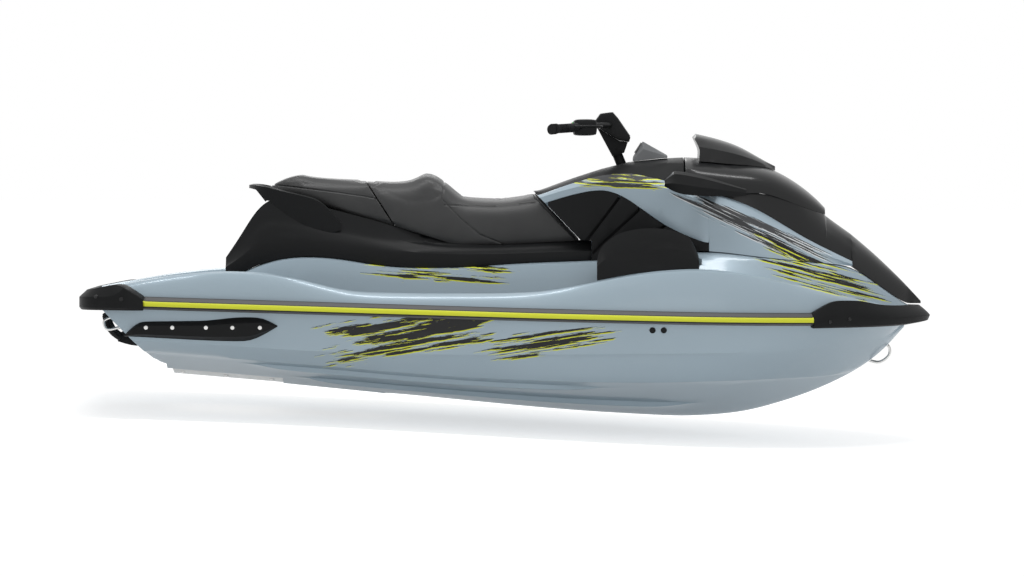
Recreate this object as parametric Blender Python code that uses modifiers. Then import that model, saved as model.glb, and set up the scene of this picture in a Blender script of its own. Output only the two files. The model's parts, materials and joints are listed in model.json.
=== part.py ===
"""Personal watercraft, two seats, jet drive.

Metres, +X towards the bow, +Y to port, +Z up. The origin is on the centreline amidships, at the still
waterline. The hull, deck, seats and cowl are lofts whose lines are read along X from the tables below.
"""

import math

import bmesh
import bpy
from mathutils import Matrix, Vector

# Driving dimensions of the craft
LENGTH = 3.35
BEAM = 1.225
LINES_LENGTH = 3.35
LINES_BEAM = 1.225

# Clearances
SEAT_GAP = 0.0003
SIDE_GAP = 0.0006
SHAFT_GAP = 0.0004
PIN_GAP = 0.0012

# Hull bottom
CHINE_FLAT = 0.045
CREASE_STEP = 0.012
CREASE_HALF = 0.004
STRAKE_WIDTH = 0.034
STRAKE_DROP = 0.008
INNER_STRAKE_SHARE = 0.40
OUTER_STRAKE_SHARE = 0.84
FLANGE_WIDTH = 0.050
LINER_EDGE = 0.080

# Rub rail and bumpers
RAIL_THICK = 0.028
RAIL_UP = 0.028
RAIL_DOWN = 0.022
RAIL_AFT_X = -1.415
RAIL_FORE_X = 1.185

# Jet drive
PUMP_Z = 0.005
PUMP_BORE = 0.078
PUMP_WALL = 0.009
PUMP_FLANGE = 0.016
PUMP_FORE_X = -0.955
PUMP_AFT_X = -1.235
TUNNEL_HALF = 0.172
TUNNEL_TOP = 0.142
TUNNEL_FORE_X = -0.930
PLATE_THICK = 0.009
PLATE_AFT_X = -1.318
PLATE_FORE_X = -0.885
PLATE_HALF = 0.190
NOZZLE_MOUTH = 0.043
NOZZLE_WALL = 0.006
BUCKET_WALL = 0.006
BUCKET_IN = 0.125
SHAFT_R = 0.012
HUB_R = 0.026
INTAKE_FORE_X = -0.500
INTAKE_AFT_X = -0.865
INTAKE_HALF = 0.076
GRATE_THICK = 0.007

# Steering
STEER_X = 0.450
STEER_Z = 0.732
STEER_LEAN = 22.0
COLUMN_R = 0.020
BAR_R = 0.011
GRIP_R = 0.0165
BAR_HALF = 0.385

# Seat and lids
SEAT_SPLIT_GAP = 0.006
HOOD_WALL = 0.010
HOOD_HINGE_X = 1.262
HOOD_HINGE_Z = 0.522
LID_WALL = 0.006
LID_CLEAR = 0.0008


def along(x):
    """A place along the lines plan, stretched to this length."""
    return x * LENGTH / LINES_LENGTH


def across(y):
    """A breadth of the lines plan, widened to this beam."""
    return y * BEAM / LINES_BEAM


def track(*pairs):
    """A smooth curve without overshoot through (place, value) pairs, level beyond its ends."""
    xs = [p[0] for p in pairs]
    ys = [p[1] for p in pairs]
    runs = [(ys[i + 1] - ys[i]) / (xs[i + 1] - xs[i]) for i in range(len(xs) - 1)]
    slopes = [runs[0]]
    for a, b in zip(runs, runs[1:]):
        slopes.append(0.0 if a * b <= 0 else 2 * a * b / (a + b))
    slopes.append(runs[-1])

    def value(x):
        if x <= xs[0]:
            return ys[0]
        if x >= xs[-1]:
            return ys[-1]
        i = max(k for k in range(len(xs) - 1) if xs[k] <= x)
        h = xs[i + 1] - xs[i]
        t = (x - xs[i]) / h
        a = (1 + 2 * t) * (1 - t) ** 2 * ys[i] + t * (1 - t) ** 2 * h * slopes[i]
        return a + t * t * (3 - 2 * t) * ys[i + 1] + t * t * (t - 1) * h * slopes[i + 1]

    return value


STATIONS = [-1.63, -1.618, -1.60, -1.57, -1.517, -1.40, -1.22, -1.12, -1.05, -1.00, -0.95, -0.90, -0.82,
            -0.70,
            -0.60, -0.45, -0.20, 0.00, 0.129, 0.25, 0.367, 0.48, 0.60, 0.66, 0.70, 0.76, 0.86, 0.96, 1.06,
            1.16,
            1.26, 1.36, 1.437, 1.50, 1.56, 1.60]
HOOD_STATIONS = [0.70, 0.745, 0.80, 0.86, 0.914, 0.96, 1.02, 1.06, 1.12, 1.18, 1.23, 1.272]


def line(*pairs, stations=STATIONS):
    """A track drawn straight from station to station, so that pieces that meet along it share its facets."""
    smooth = track(*pairs)
    heights = [smooth(x) for x in stations]

    def value(x):
        if x <= stations[0]:
            return heights[0]
        if x >= stations[-1]:
            return heights[-1]
        i = max(k for k in range(len(stations) - 1) if stations[k] <= x)
        t = (x - stations[i]) / (stations[i + 1] - stations[i])
        return heights[i] + (heights[i + 1] - heights[i]) * t

    return value


def places(low, high, *own, stations=STATIONS):
    """The ends of a piece with the stations between them and its own added places."""
    return sorted({low, high, *own, *(x for x in stations if low + 0.002 < x < high - 0.002)})


def ramp(x, low, high):
    """0 before low, 1 after high, smooth between."""
    t = min(1.0, max(0.0, (x - low) / (high - low)))
    return t * t * (3 - 2 * t)


def mix(a, b, t):
    return a + (b - a) * t


# Lines plan: height or half breadth along X
KEEL_Z = line((-1.620, -0.075), (-1.318, -0.100), (-0.862, -0.139), (-0.426, -0.182), (0.208, -0.243),
              (0.446, -0.259), (0.700, -0.270), (0.900, -0.259), (1.041, -0.226), (1.200, -0.174),
              (1.338, -0.111), (1.420, -0.062), (1.500, 0.004), (1.560, 0.072), (1.600, 0.112))
KEEL_Y = line((-0.55, 0.105), (-0.15, 0.050), (0.30, 0.022), (1.30, 0.010), (1.60, 0.005))
CHINE_Z = line((-1.620, 0.012), (-1.425, -0.002), (-0.704, -0.059), (-0.109, -0.105), (0.527, -0.124),
               (1.200, -0.109), (1.600, -0.091))
CHINE_Y = line((-1.620, 0.455), (-1.000, 0.478), (-0.400, 0.485), (0.100, 0.482), (0.500, 0.462),
               (0.800, 0.410), (1.000, 0.335), (1.200, 0.205), (1.330, 0.080), (1.390, 0.016),
               (1.600, 0.012))
CREASE_Z = line((-1.620, 0.047), (-1.200, 0.026), (-0.700, -0.004), (-0.200, -0.016), (1.000, -0.010),
                (1.370, 0.022), (1.600, 0.049))
CREASE_Y = line((-1.62, 0.533), (-1.00, 0.552), (-0.40, 0.562), (0.10, 0.560), (0.50, 0.545), (0.80, 0.503),
                 (1.00, 0.436), (1.20, 0.330), (1.37, 0.195), (1.48, 0.085), (1.545, 0.020), (1.60, 0.016))
BOND_Y = line((-1.630, 0.460), (-1.612, 0.512), (-1.580, 0.540), (-1.520, 0.553), (-1.400, 0.561),
              (-1.000, 0.575), (-0.400, 0.585), (0.100, 0.585), (0.500, 0.572), (0.800, 0.535),
              (1.000, 0.486), (1.200, 0.405), (1.370, 0.300), (1.480, 0.205), (1.560, 0.110),
              (1.600, 0.040))
BOND_Z = line((-1.630, 0.198), (-1.580, 0.193), (-1.400, 0.186), (-1.000, 0.174), (-0.400, 0.156),
              (0.100, 0.141), (0.500, 0.131), (0.800, 0.124), (1.000, 0.121), (1.200, 0.119),
              (1.370, 0.120), (1.480, 0.121), (1.560, 0.124), (1.600, 0.127))
LINER_Z = line((-1.02, 0.160), (-0.93, 0.150), (-0.80, 0.066), (0.66, 0.066), (0.82, 0.090), (1.30, 0.092),
              (1.48, 0.109), (1.60, 0.112))
GUNWALE_Z = line((-1.630, 0.240), (-1.517, 0.262), (-1.400, 0.285), (-1.220, 0.306), (-1.120, 0.313),
                 (-0.980, 0.309), (-0.800, 0.283),
                 (-0.600, 0.234), (-0.400, 0.227), (0.000, 0.226), (0.129, 0.234), (0.367, 0.279),
                 (0.565, 0.312), (0.763, 0.321), (0.960, 0.296), (1.239, 0.233), (1.405, 0.194),
                 (1.520, 0.165), (1.600, 0.150))
FLOOR_Z = line((-1.05, 0.205), (-0.95, 0.186), (-0.80, 0.104), (0.70, 0.095))
SKIRT_Z = line((-1.220, 0.210), (-1.120, 0.262), (-0.970, 0.336), (-0.823, 0.368), (-0.704, 0.364),
               (-0.426, 0.320), (-0.307, 0.316), (0.050, 0.340), (0.367, 0.352), (0.600, 0.369),
               (0.763, 0.390), (1.000, 0.364), (1.200, 0.344), (1.350, 0.329), (1.437, 0.273),
               (1.576, 0.178), (1.600, 0.166))
SKIRT_Y = line((-1.20, 0.295), (-0.80, 0.275), (-0.30, 0.270), (0.30, 0.275), (0.60, 0.300), (0.763, 0.385),
                (1.00, 0.352), (1.20, 0.270), (1.35, 0.180), (1.437, 0.140), (1.576, 0.050), (1.60, 0.020))

# Seat base, seats, cowl and lids
BASE_EDGE_Z = line((-1.108, 0.316), (-0.922, 0.437), (-0.800, 0.435), (-0.550, 0.399), (-0.268, 0.372),
                   (0.050, 0.379), (0.300, 0.389))
BASE_RIM_Z = line((-1.108, 0.333), (-0.930, 0.508), (-0.823, 0.495), (-0.625, 0.460), (-0.426, 0.420),
                  (-0.268, 0.397), (0.050, 0.404), (0.300, 0.418))
SEAT_FLOOR_Z = line((-1.108, 0.345), (-0.950, 0.585), (-0.900, 0.598), (-0.640, 0.537), (-0.458, 0.491),
                    (-0.360, 0.440), (-0.270, 0.410), (-0.109, 0.409), (0.208, 0.424), (0.340, 0.430))
SEAT_TOP_Z = track((-0.935, 0.640), (-0.90, 0.668), (-0.835, 0.690), (-0.783, 0.676), (-0.56, 0.662),
                   (-0.426, 0.655), (-0.367, 0.668), (-0.312, 0.694), (-0.268, 0.676), (-0.169, 0.598),
                   (-0.05, 0.590), (0.06, 0.602), (0.20, 0.640))
SEAT_CROWN_Y = track((-0.93, 0.085), (-0.80, 0.120), (-0.56, 0.135), (-0.40, 0.140), (-0.31, 0.150),
                     (-0.17, 0.120), (0.00, 0.115), (0.20, 0.125))
SEAT_WAIST_Y = track((-0.93, 0.110), (-0.80, 0.155), (-0.56, 0.178), (-0.31, 0.205), (-0.10, 0.190),
                     (0.20, 0.200))
COWL_CREASE_Y = line((0.10, 0.205), (0.366, 0.262), (0.62, 0.300), (0.80, 0.328), (1.00, 0.312),
                      (1.20, 0.232), (1.36, 0.166))
COWL_CREASE_Z = line((0.100, 0.587), (0.200, 0.622), (0.366, 0.660), (0.470, 0.671), (0.620, 0.636),
                     (0.800, 0.568), (1.000, 0.474), (1.200, 0.390), (1.360, 0.333))
COWL_EDGE_Y = line((0.100, 0.180), (0.366, 0.225), (0.620, 0.255), (0.800, 0.275), (0.914, 0.262),
                   (1.000, 0.245), (1.160, 0.205), (1.360, 0.150), (1.437, 0.118), (1.576, 0.045),
                   (1.600, 0.030))
COWL_EDGE_Z = line((0.100, 0.597), (0.200, 0.636), (0.366, 0.686), (0.466, 0.696), (0.620, 0.665),
                   (0.700, 0.640), (0.800, 0.616), (0.914, 0.584), (1.000, 0.543), (1.160, 0.444),
                   (1.360, 0.346))
CONSOLE_TOP_Z = line((0.10, 0.614), (0.208, 0.656), (0.366, 0.708), (0.45, 0.732), (0.565, 0.749),
                      (0.695, 0.757))
HOOD_TOP_Z = line((0.700, 0.757), (0.80, 0.752), (0.90, 0.742), (1.00, 0.724), (1.06, 0.704), (1.12, 0.672),
                   (1.18, 0.630), (1.24, 0.576), (1.272, 0.540), stations=HOOD_STATIONS)
HOOD_EDGE_Y = line((0.700, 0.262), (0.800, 0.284), (0.914, 0.272), (1.000, 0.250), (1.100, 0.212),
                   (1.200, 0.145), (1.272, 0.060), stations=HOOD_STATIONS)
HOOD_EDGE_Z = line((0.700, 0.648), (0.800, 0.625), (0.860, 0.614), (0.914, 0.610), (0.960, 0.618),
                   (1.020, 0.612), (1.060, 0.600), (1.120, 0.578), (1.180, 0.554), (1.230, 0.539),
                   (1.272, 0.525), stations=HOOD_STATIONS)
NOSE_TOP_Z = line((1.23, 0.541), (1.26, 0.526), (1.30, 0.502), (1.358, 0.456), (1.4175, 0.408),
                  (1.477, 0.353), (1.5365, 0.297), (1.596, 0.234), (1.640, 0.184),
                  stations=(*STATIONS, 1.640))


# Scene helpers
parts = None
cutters = None


def start_scene():
    global parts, cutters
    for obj in list(bpy.data.objects):
        bpy.data.objects.remove(obj)
    parts = bpy.data.collections.new("personal_watercraft")
    cutters = bpy.data.collections.new("cutters")
    bpy.context.scene.collection.children.link(parts)
    bpy.context.scene.collection.children.link(cutters)


MATERIALS = {
    "gelcoat": ((0.33, 0.42, 0.48), 0.25, 0.0),
    "black_plastic": ((0.020, 0.021, 0.022), 0.55, 0.0),
    "gloss_black": ((0.016, 0.017, 0.018), 0.20, 0.0),
    "rubber": ((0.022, 0.022, 0.023), 0.75, 0.0),
    "vinyl": ((0.030, 0.031, 0.032), 0.60, 0.0),
    "mat": ((0.045, 0.047, 0.048), 0.85, 0.0),
    "rail_grey": ((0.075, 0.082, 0.090), 0.60, 0.0),
    "alloy": ((0.55, 0.56, 0.56), 0.40, 1.0),
    "steel": ((0.62, 0.62, 0.61), 0.22, 1.0),
    "glass": ((0.30, 0.32, 0.34), 0.05, 0.0),
    "engine": ((0.10, 0.10, 0.11), 0.50, 0.0),
}


def material(name):
    found = bpy.data.materials.get(name)
    if found:
        return found
    colour, roughness, metallic = MATERIALS[name]
    made = bpy.data.materials.new(name)
    made.use_nodes = True
    shader = made.node_tree.nodes["Principled BSDF"]
    shader.inputs["Base Color"].default_value = (*colour, 1.0)
    shader.inputs["Roughness"].default_value = roughness
    shader.inputs["Metallic"].default_value = metallic
    made.diffuse_color = (*colour, 1.0)
    return made


def add_object(name, bm, finish, cutter=False):
    bmesh.ops.recalc_face_normals(bm, faces=bm.faces)
    mesh = bpy.data.meshes.new(name)
    bm.to_mesh(mesh)
    bm.free()
    obj = bpy.data.objects.new(name, mesh)
    if cutter:
        cutters.objects.link(obj)
        obj.hide_render = True
        obj.display_type = "WIRE"
    else:
        parts.objects.link(obj)
        mesh.materials.append(material(finish))
        mesh.shade_smooth()
        mesh.set_sharp_from_angle(angle=math.radians(32))
    return obj


def skin(bm, rows, closed=True):
    """Faces between rows of vertices, split along the shorter diagonal so that pieces that meet agree."""
    faces = []
    for a, b in zip(rows, rows[1:]):
        for i in range(len(a) if closed else len(a) - 1):
            j = (i + 1) % len(a)
            faces.append(bm.faces.new((a[i], a[j], b[j], b[i])))
    bmesh.ops.triangulate(bm, faces=faces, quad_method="SHORT_EDGE")


def loft(name, rings, finish, cutter=False):
    """A closed solid through rings of the same number of points."""
    bm = bmesh.new()
    rows = [[bm.verts.new(p) for p in ring] for ring in rings]
    skin(bm, rows)
    bm.faces.new(rows[0])
    bm.faces.new(list(reversed(rows[-1])))
    return add_object(name, bm, finish, cutter)


def half_loft(name, places, section, finish, cutter=False):
    """A symmetric solid: section gives the (y, z) chain of one half, from centre to centre, at each place."""
    bm = bmesh.new()
    rows = []
    for x in places:
        row = []
        for y, z in section(x):
            row.append(bm.verts.new((along(x), across(max(y, 0.0)), z)))
        rows.append(row)
    skin(bm, rows, closed=False)
    bm.faces.new(rows[0])
    bm.faces.new(list(reversed(rows[-1])))
    obj = add_object(name, bm, finish, cutter)
    mirror = obj.modifiers.new("mirror", "MIRROR")
    mirror.use_axis = (False, True, False)
    mirror.merge_threshold = 0.0001
    return applied(obj)


def applied(obj):
    """Bakes an object's modifiers into its mesh, so that later cuts start from the finished shape."""
    graph = bpy.context.evaluated_depsgraph_get()
    graph.update()
    mesh = bpy.data.meshes.new_from_object(obj.evaluated_get(graph))
    obj.modifiers.clear()
    bm = bmesh.new()
    bm.from_mesh(mesh)
    bmesh.ops.remove_doubles(bm, verts=bm.verts, dist=0.00002)
    bmesh.ops.dissolve_degenerate(bm, edges=bm.edges, dist=0.00002)
    bmesh.ops.recalc_face_normals(bm, faces=bm.faces)
    bm.to_mesh(mesh)
    bm.free()
    old = obj.data
    obj.data = mesh
    bpy.data.meshes.remove(old)
    return obj


def boolean(obj, other, operation, solver="EXACT"):
    step = obj.modifiers.new(operation.lower(), "BOOLEAN")
    step.operation = operation
    step.solver = solver
    step.object = other
    return applied(obj)


def cut(obj, *others):
    for other in others:
        boolean(obj, other, "DIFFERENCE")
    return obj


def fuse(obj, *others, solver="EXACT"):
    """Joins helper shapes into obj and drops them."""
    for other in others:
        boolean(obj, other, "UNION", solver)
        bpy.data.objects.remove(other)
    return obj


def grown(obj, clearance, name=None):
    """A cutter with obj's shape, larger by clearance all round."""
    bm = bmesh.new()
    bm.from_mesh(obj.data)
    bmesh.ops.triangulate(bm, faces=bm.faces)
    bm.normal_update()
    moved = []
    for v in bm.verts:
        normals = []
        for face in v.link_faces:
            if all((face.normal - n).length > 0.05 for n in normals):
                normals.append(face.normal.copy())
        total = sum(normals, Vector())
        direction = total.normalized() if total.length > 1e-6 else v.normal
        lean = min([direction.dot(n) for n in normals] + [1.0])
        moved.append(v.co + direction * clearance / max(lean, 0.35))
    for v, place in zip(bm.verts, moved):
        v.co = place
    return add_object(name or obj.name + "_room", bm, None, cutter=True)


def box(name, low, high, finish, cutter=False):
    bm = bmesh.new()
    bmesh.ops.create_cube(bm, size=1.0)
    low, high = Vector(low), Vector(high)
    for v in bm.verts:
        v.co = Vector(mix(low[i], high[i], v.co[i] + 0.5) for i in range(3))
    return add_object(name, bm, finish, cutter)


def prism(name, outline, half, finish, cutter=False, start=None):
    """An (x, z) outline, as thick as the craft is wide between start and half."""
    low = -half if start is None else start
    return loft(name, [[(x, y, z) for x, z in outline] for y in (low, half)], finish, cutter)


def cylinder(name, centre, axis, radius, length, finish, cutter=False, top_radius=None, sides=24):
    """A cylinder or cone from centre along axis."""
    bm = bmesh.new()
    far = radius if top_radius is None else top_radius
    bmesh.ops.create_cone(bm, cap_ends=True, segments=sides, radius1=radius, radius2=far, depth=length)
    axis = Vector(axis).normalized()
    turn = Vector((0, 0, 1)).rotation_difference(axis).to_matrix().to_4x4()
    place = Matrix.Translation(Vector(centre) + axis * length / 2) @ turn
    bmesh.ops.transform(bm, matrix=place, verts=bm.verts)
    return add_object(name, bm, finish, cutter)


def turned(name, profile, finish, cutter=False, sides=28):
    """A solid turned about the pump's axis from (x, radius) pairs that start and end on the axis, or go
    round to where they began."""
    bm = bmesh.new()
    chain = [bm.verts.new((x, r, PUMP_Z)) for x, r in profile]
    edges = [bm.edges.new(pair) for pair in zip(chain, chain[1:])]
    if profile[0][1] > 0:
        edges.append(bm.edges.new((chain[-1], chain[0])))
    bmesh.ops.spin(bm, geom=chain + edges, cent=(0, 0, PUMP_Z), axis=(1, 0, 0), angle=2 * math.pi,
                   steps=sides,
                   use_merge=True)
    bmesh.ops.remove_doubles(bm, verts=bm.verts, dist=0.00002)
    return add_object(name, bm, finish, cutter)


def tube(name, points, radius, finish, cutter=False, resolution=2, smooth_turns=True):
    """A round rod through points, as a beveled curve with filled caps made into a mesh."""
    curve = bpy.data.curves.new(name, "CURVE")
    curve.dimensions = "3D"
    curve.bevel_depth = radius
    curve.bevel_resolution = resolution
    curve.use_fill_caps = True
    spline = curve.splines.new("POLY")
    route = smooth_route(points) if smooth_turns else [Vector(p) for p in points]
    spline.points.add(len(route) - 1)
    for point, place in zip(spline.points, route):
        point.co = (*place, 1.0)
    holder = bpy.data.objects.new(name + "_curve", curve)
    parts.objects.link(holder)
    graph = bpy.context.evaluated_depsgraph_get()
    graph.update()
    mesh = bpy.data.meshes.new_from_object(holder.evaluated_get(graph))
    bm = bmesh.new()
    bm.from_mesh(mesh)
    bmesh.ops.remove_doubles(bm, verts=bm.verts, dist=0.00005)
    bpy.data.objects.remove(holder)
    bpy.data.meshes.remove(mesh)
    return add_object(name, bm, finish, cutter)


def smooth_route(points, steps=4):
    """Points along a smooth curve through the given ones."""
    pts = [Vector(p) for p in points]
    ends = [2 * pts[0] - pts[1]] + pts + [2 * pts[-1] - pts[-2]]
    route = []
    for i in range(1, len(ends) - 2):
        a, b, c, d = ends[i - 1:i + 3]
        for k in range(steps):
            t = k / steps
            route.append(0.5 * (2 * b + (c - a) * t + (2 * a - 5 * b + 4 * c - d) * t * t
                                + (3 * b - a - 3 * c + d) * t ** 3))
    return route + [pts[-1]]


def mirrored(obj, name):
    """The same piece on the other side of the craft."""
    bm = bmesh.new()
    bm.from_mesh(obj.data)
    bmesh.ops.scale(bm, vec=(1, -1, 1), verts=bm.verts)
    copy = add_object(name, bm, obj.data.materials[0].name)
    return copy


def soften(obj, width, segments=1, angle=40):
    bevel = obj.modifiers.new("bevel", "BEVEL")
    bevel.width = width
    bevel.segments = segments
    bevel.limit_method = "ANGLE"
    bevel.angle_limit = math.radians(angle)
    bevel.use_clamp_overlap = True
    return applied(obj)


# Lower hull
def chine_y(x):
    return max(min(CHINE_Y(x), BOND_Y(x) - 0.020), KEEL_Y(x) + 0.006)


def chine_flat(x):
    return CHINE_FLAT * ramp(chine_y(x), 0.02, 0.15)


def bottom_z(x, y):
    """Height of the hull's bottom between keel pad and chine flat."""
    pad = KEEL_Y(x)
    edge = max(pad + 0.002, chine_y(x) - chine_flat(x))
    t = min(1.0, max(0.0, (y - pad) / (edge - pad)))
    return mix(KEEL_Z(x), chine_z(x), t)


def chine_z(x):
    return max(CHINE_Z(x), KEEL_Z(x) + 0.004)


def crease_z(x):
    return max(CREASE_Z(x), chine_z(x) + 0.010)


def liner_z(x):
    return min(LINER_Z(x), BOND_Z(x) - 0.010)


def flange_y(x):
    return BOND_Y(x) - min(FLANGE_WIDTH, 0.35 * BOND_Y(x))


def liner_y(x):
    return BOND_Y(x) - min(LINER_EDGE, 0.60 * BOND_Y(x))


def strake(x, share, start, grown_by, fade, end):
    """Three points of a lifting strake, which fades out at both ends."""
    pad = KEEL_Y(x)
    room = max(chine_y(x) - chine_flat(x) - pad, 0.002)
    y = pad + room * share
    width = min(STRAKE_WIDTH, room * 0.2)
    back = y + room * 0.01
    full = ramp(x, start, grown_by) * (1 - ramp(x, fade, end))
    low = mix(bottom_z(x, y), bottom_z(x, y - width) - STRAKE_DROP, full)
    return [(y - width, bottom_z(x, y - width)), (y, low), (back, bottom_z(x, back))]


def hull_section(x):
    chine, flat = chine_y(x), chine_flat(x)
    crease = max(min(CREASE_Y(x), BOND_Y(x) - 0.010), chine + 0.004)
    step = CREASE_STEP * ramp(crease, 0.03, 0.25)
    chain = [(0, KEEL_Z(x)), (KEEL_Y(x), KEEL_Z(x))]
    chain += strake(x, INNER_STRAKE_SHARE, -0.82, -0.70, 0.55, 0.78)
    chain += strake(x, OUTER_STRAKE_SHARE, -1.05, -0.85, 0.20, 0.42)
    chain += [(chine - flat, chine_z(x)), (chine, chine_z(x)),
              (crease - step, crease_z(x) - CREASE_HALF), (crease, crease_z(x) + CREASE_HALF),
              (BOND_Y(x), BOND_Z(x)), (flange_y(x), BOND_Z(x)), (liner_y(x), liner_z(x)), (0, liner_z(x))]
    return chain


HULL_AFT_X = -1.625
HULL_FORE_X = 1.572


def tunnel_cutter():
    """Recess for the jet drive, with sloped shoulders, open aft and below."""
    half, top, low = across(TUNNEL_HALF), TUNNEL_TOP, -0.40
    shoulder = 0.045
    ring = [(half, low), (half, top - shoulder), (half - shoulder, top), (-half + shoulder, top),
            (-half, top - shoulder), (-half, low)]
    return loft("tunnel", [[(x, y, z) for y, z in ring] for x in (along(-1.75), along(TUNNEL_FORE_X))],
                None, cutter=True)


def intake_cutter():
    """Duct that rises from the keel to the pump: the convex hull of its mouth and the pump's bore."""
    bm = bmesh.new()
    for x in (along(TUNNEL_FORE_X) - 0.02, along(TUNNEL_FORE_X) + 0.015):
        for i in range(24):
            a = 2 * math.pi * i / 24
            bm.verts.new((x, PUMP_BORE * math.cos(a), PUMP_Z + PUMP_BORE * math.sin(a)))
    for x in (along(INTAKE_AFT_X), along(INTAKE_FORE_X)):
        for y in (-INTAKE_HALF, INTAKE_HALF):
            bm.verts.new((x, y, KEEL_Z(x) - 0.02))
    bmesh.ops.convex_hull(bm, input=bm.verts)
    loose = [v for v in bm.verts if not v.link_faces]
    bmesh.ops.delete(bm, geom=loose, context="VERTS")
    return add_object("intake", bm, None, cutter=True)


ENGINE_LOW = (-0.28, -0.150, -0.115)
ENGINE_HIGH = (0.36, 0.150, 0.285)
BAY_ROOM = 0.022


def engine_bay_cutter():
    low = (along(ENGINE_LOW[0]) - BAY_ROOM, -across(ENGINE_HIGH[1]) - BAY_ROOM, ENGINE_LOW[2] - SEAT_GAP)
    high = (along(ENGINE_HIGH[0]) + BAY_ROOM, across(ENGINE_HIGH[1]) + BAY_ROOM, 0.60)
    return box("engine_bay", low, high, None, cutter=True)


def transom_cutter():
    """What is cut away behind the raked transom."""
    outline = [(-1.90, 0.40), (-1.622, 0.40), (-1.604, 0.190), (-1.536, 0.119), (-1.385, -0.034),
               (-1.362, -0.050), (-1.340, -0.055), (-1.340, -0.40), (-1.90, -0.40)]
    return prism("transom", [(along(x), z) for x, z in outline], 0.9, None, cutter=True)


def ride_plate_section(x):
    """Half section of the ride plate: it carries on the hull's bottom across the tunnel."""
    edge = PLATE_HALF
    low = bottom_z(x, edge)
    return [(0, KEEL_Z(x)), (KEEL_Y(x), KEEL_Z(x)), (edge, low), (edge, low + PLATE_THICK),
            (KEEL_Y(x) - 0.004, KEEL_Z(x) + PLATE_THICK), (0, KEEL_Z(x) + PLATE_THICK)]


def plate_room_section(x):
    """The ride plate's seat, open downwards."""
    chain = ride_plate_section(x)
    edge, top = chain[3]
    return [(0, -0.40), (edge + SEAT_GAP, -0.40), (edge + SEAT_GAP, top + SEAT_GAP),
            (chain[4][0], chain[4][1] + SEAT_GAP), (0, chain[5][1] + SEAT_GAP)]


def make_hull():
    hull = half_loft("hull", places(HULL_AFT_X, HULL_FORE_X, -1.318), hull_section, "gelcoat")
    plate = half_loft("ride_plate", places(PLATE_AFT_X, PLATE_FORE_X), ride_plate_section, "alloy")
    room = half_loft("plate_room", places(-1.45, PLATE_FORE_X + SEAT_GAP), plate_room_section, None,
                     cutter=True)
    cut(hull, tunnel_cutter(), intake_cutter(), engine_bay_cutter(), transom_cutter(), room)
    return hull, plate


def make_grate(hull):
    """Intake grate: a plate with slots, let into the keel."""
    fore, aft, half = along(INTAKE_FORE_X) + 0.012, along(INTAKE_AFT_X) + 0.012, INTAKE_HALF + 0.016

    def level(x):
        return KEEL_Z(x * LINES_LENGTH / LENGTH)

    rings = []
    for x in (aft, fore):
        z = level(x)
        rings.append([(x, -half, z), (x, half, z), (x, half, z + GRATE_THICK), (x, -half, z + GRATE_THICK)])
    grate = loft("intake_grate", rings, "steel")
    room = []
    for x in (aft - SEAT_GAP, fore + SEAT_GAP):
        top, side = level(x) + GRATE_THICK + SEAT_GAP, half + SEAT_GAP
        room.append([(x, -side, -0.4), (x, side, -0.4), (x, side, top), (x, -side, top)])
    cut(hull, loft("grate_room", room, None, cutter=True))
    bars = 4
    pitch = 2 * INTAKE_HALF / bars
    for i in range(bars):
        y = -INTAKE_HALF + pitch * (i + 0.5)
        slot = box(f"slot_{i}", (aft + 0.022, y - pitch * 0.34, -0.4),
                   (fore - 0.030, y + pitch * 0.34, 0.0),
                   None, cutter=True)
        cut(grate, slot)
    return grate


# Deck
def foredeck(x):
    """0 along the footwells, 1 where the foredeck is closed."""
    return ramp(x, 0.66, 0.76)


def deck_section(x):
    bond, gun, beam = BOND_Z(x), GUNWALE_Z(x), BOND_Y(x)
    shrink = ramp(beam, 0.02, 0.30)
    floor = FLOOR_Z(x)
    top = SKIRT_Z(x)
    side = SKIRT_Y(x)
    gun = max(gun, bond + 0.012)
    inner_top = (max(beam - 0.080 * shrink, side + 0.012), gun - 0.006)
    skirt_low = (side + 0.010, top - 0.008)
    open_outer = (max(beam - 0.106, side + 0.05), floor)
    open_inner = (side + 0.034, floor)
    closed_outer = tuple(mix(inner_top[i], skirt_low[i], 0.33) for i in range(2))
    closed_inner = tuple(mix(inner_top[i], skirt_low[i], 0.67) for i in range(2))
    t = foredeck(x)
    outer = tuple(mix(open_outer[i], closed_outer[i], t) for i in range(2))
    inner = tuple(mix(open_inner[i], closed_inner[i], t) for i in range(2))
    return [(0, liner_z(x) + SEAT_GAP), (liner_y(x) - SIDE_GAP, liner_z(x) + SEAT_GAP),
            (flange_y(x) - SIDE_GAP, bond + SEAT_GAP), (beam, bond + SEAT_GAP),
            (beam - 0.004 * shrink, mix(bond, gun, 0.35)), (beam - 0.020 * shrink, mix(bond, gun, 0.75)),
            (beam - 0.036 * shrink, gun - 0.007), (beam - 0.054 * shrink, gun), inner_top, outer, inner,
            skirt_low, (side - 0.012, top), (0, top)]


DECK_AFT_X = -1.63
DECK_FORE_X = 1.60
BIN_FORE_X = 1.160
BIN_AFT_X = 0.770
BIN_HALF = 0.165
BIN_FLOOR_Z = 0.230


def bin_cutter():
    return box("storage_bin", (along(BIN_AFT_X), -across(BIN_HALF), BIN_FLOOR_Z),
               (along(BIN_FORE_X), across(BIN_HALF), 0.90), None, cutter=True)


def make_deck():
    deck = half_loft("deck", places(DECK_AFT_X, DECK_FORE_X), deck_section, "gelcoat")
    cut(deck, engine_bay_cutter(), bin_cutter())
    return deck


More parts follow.
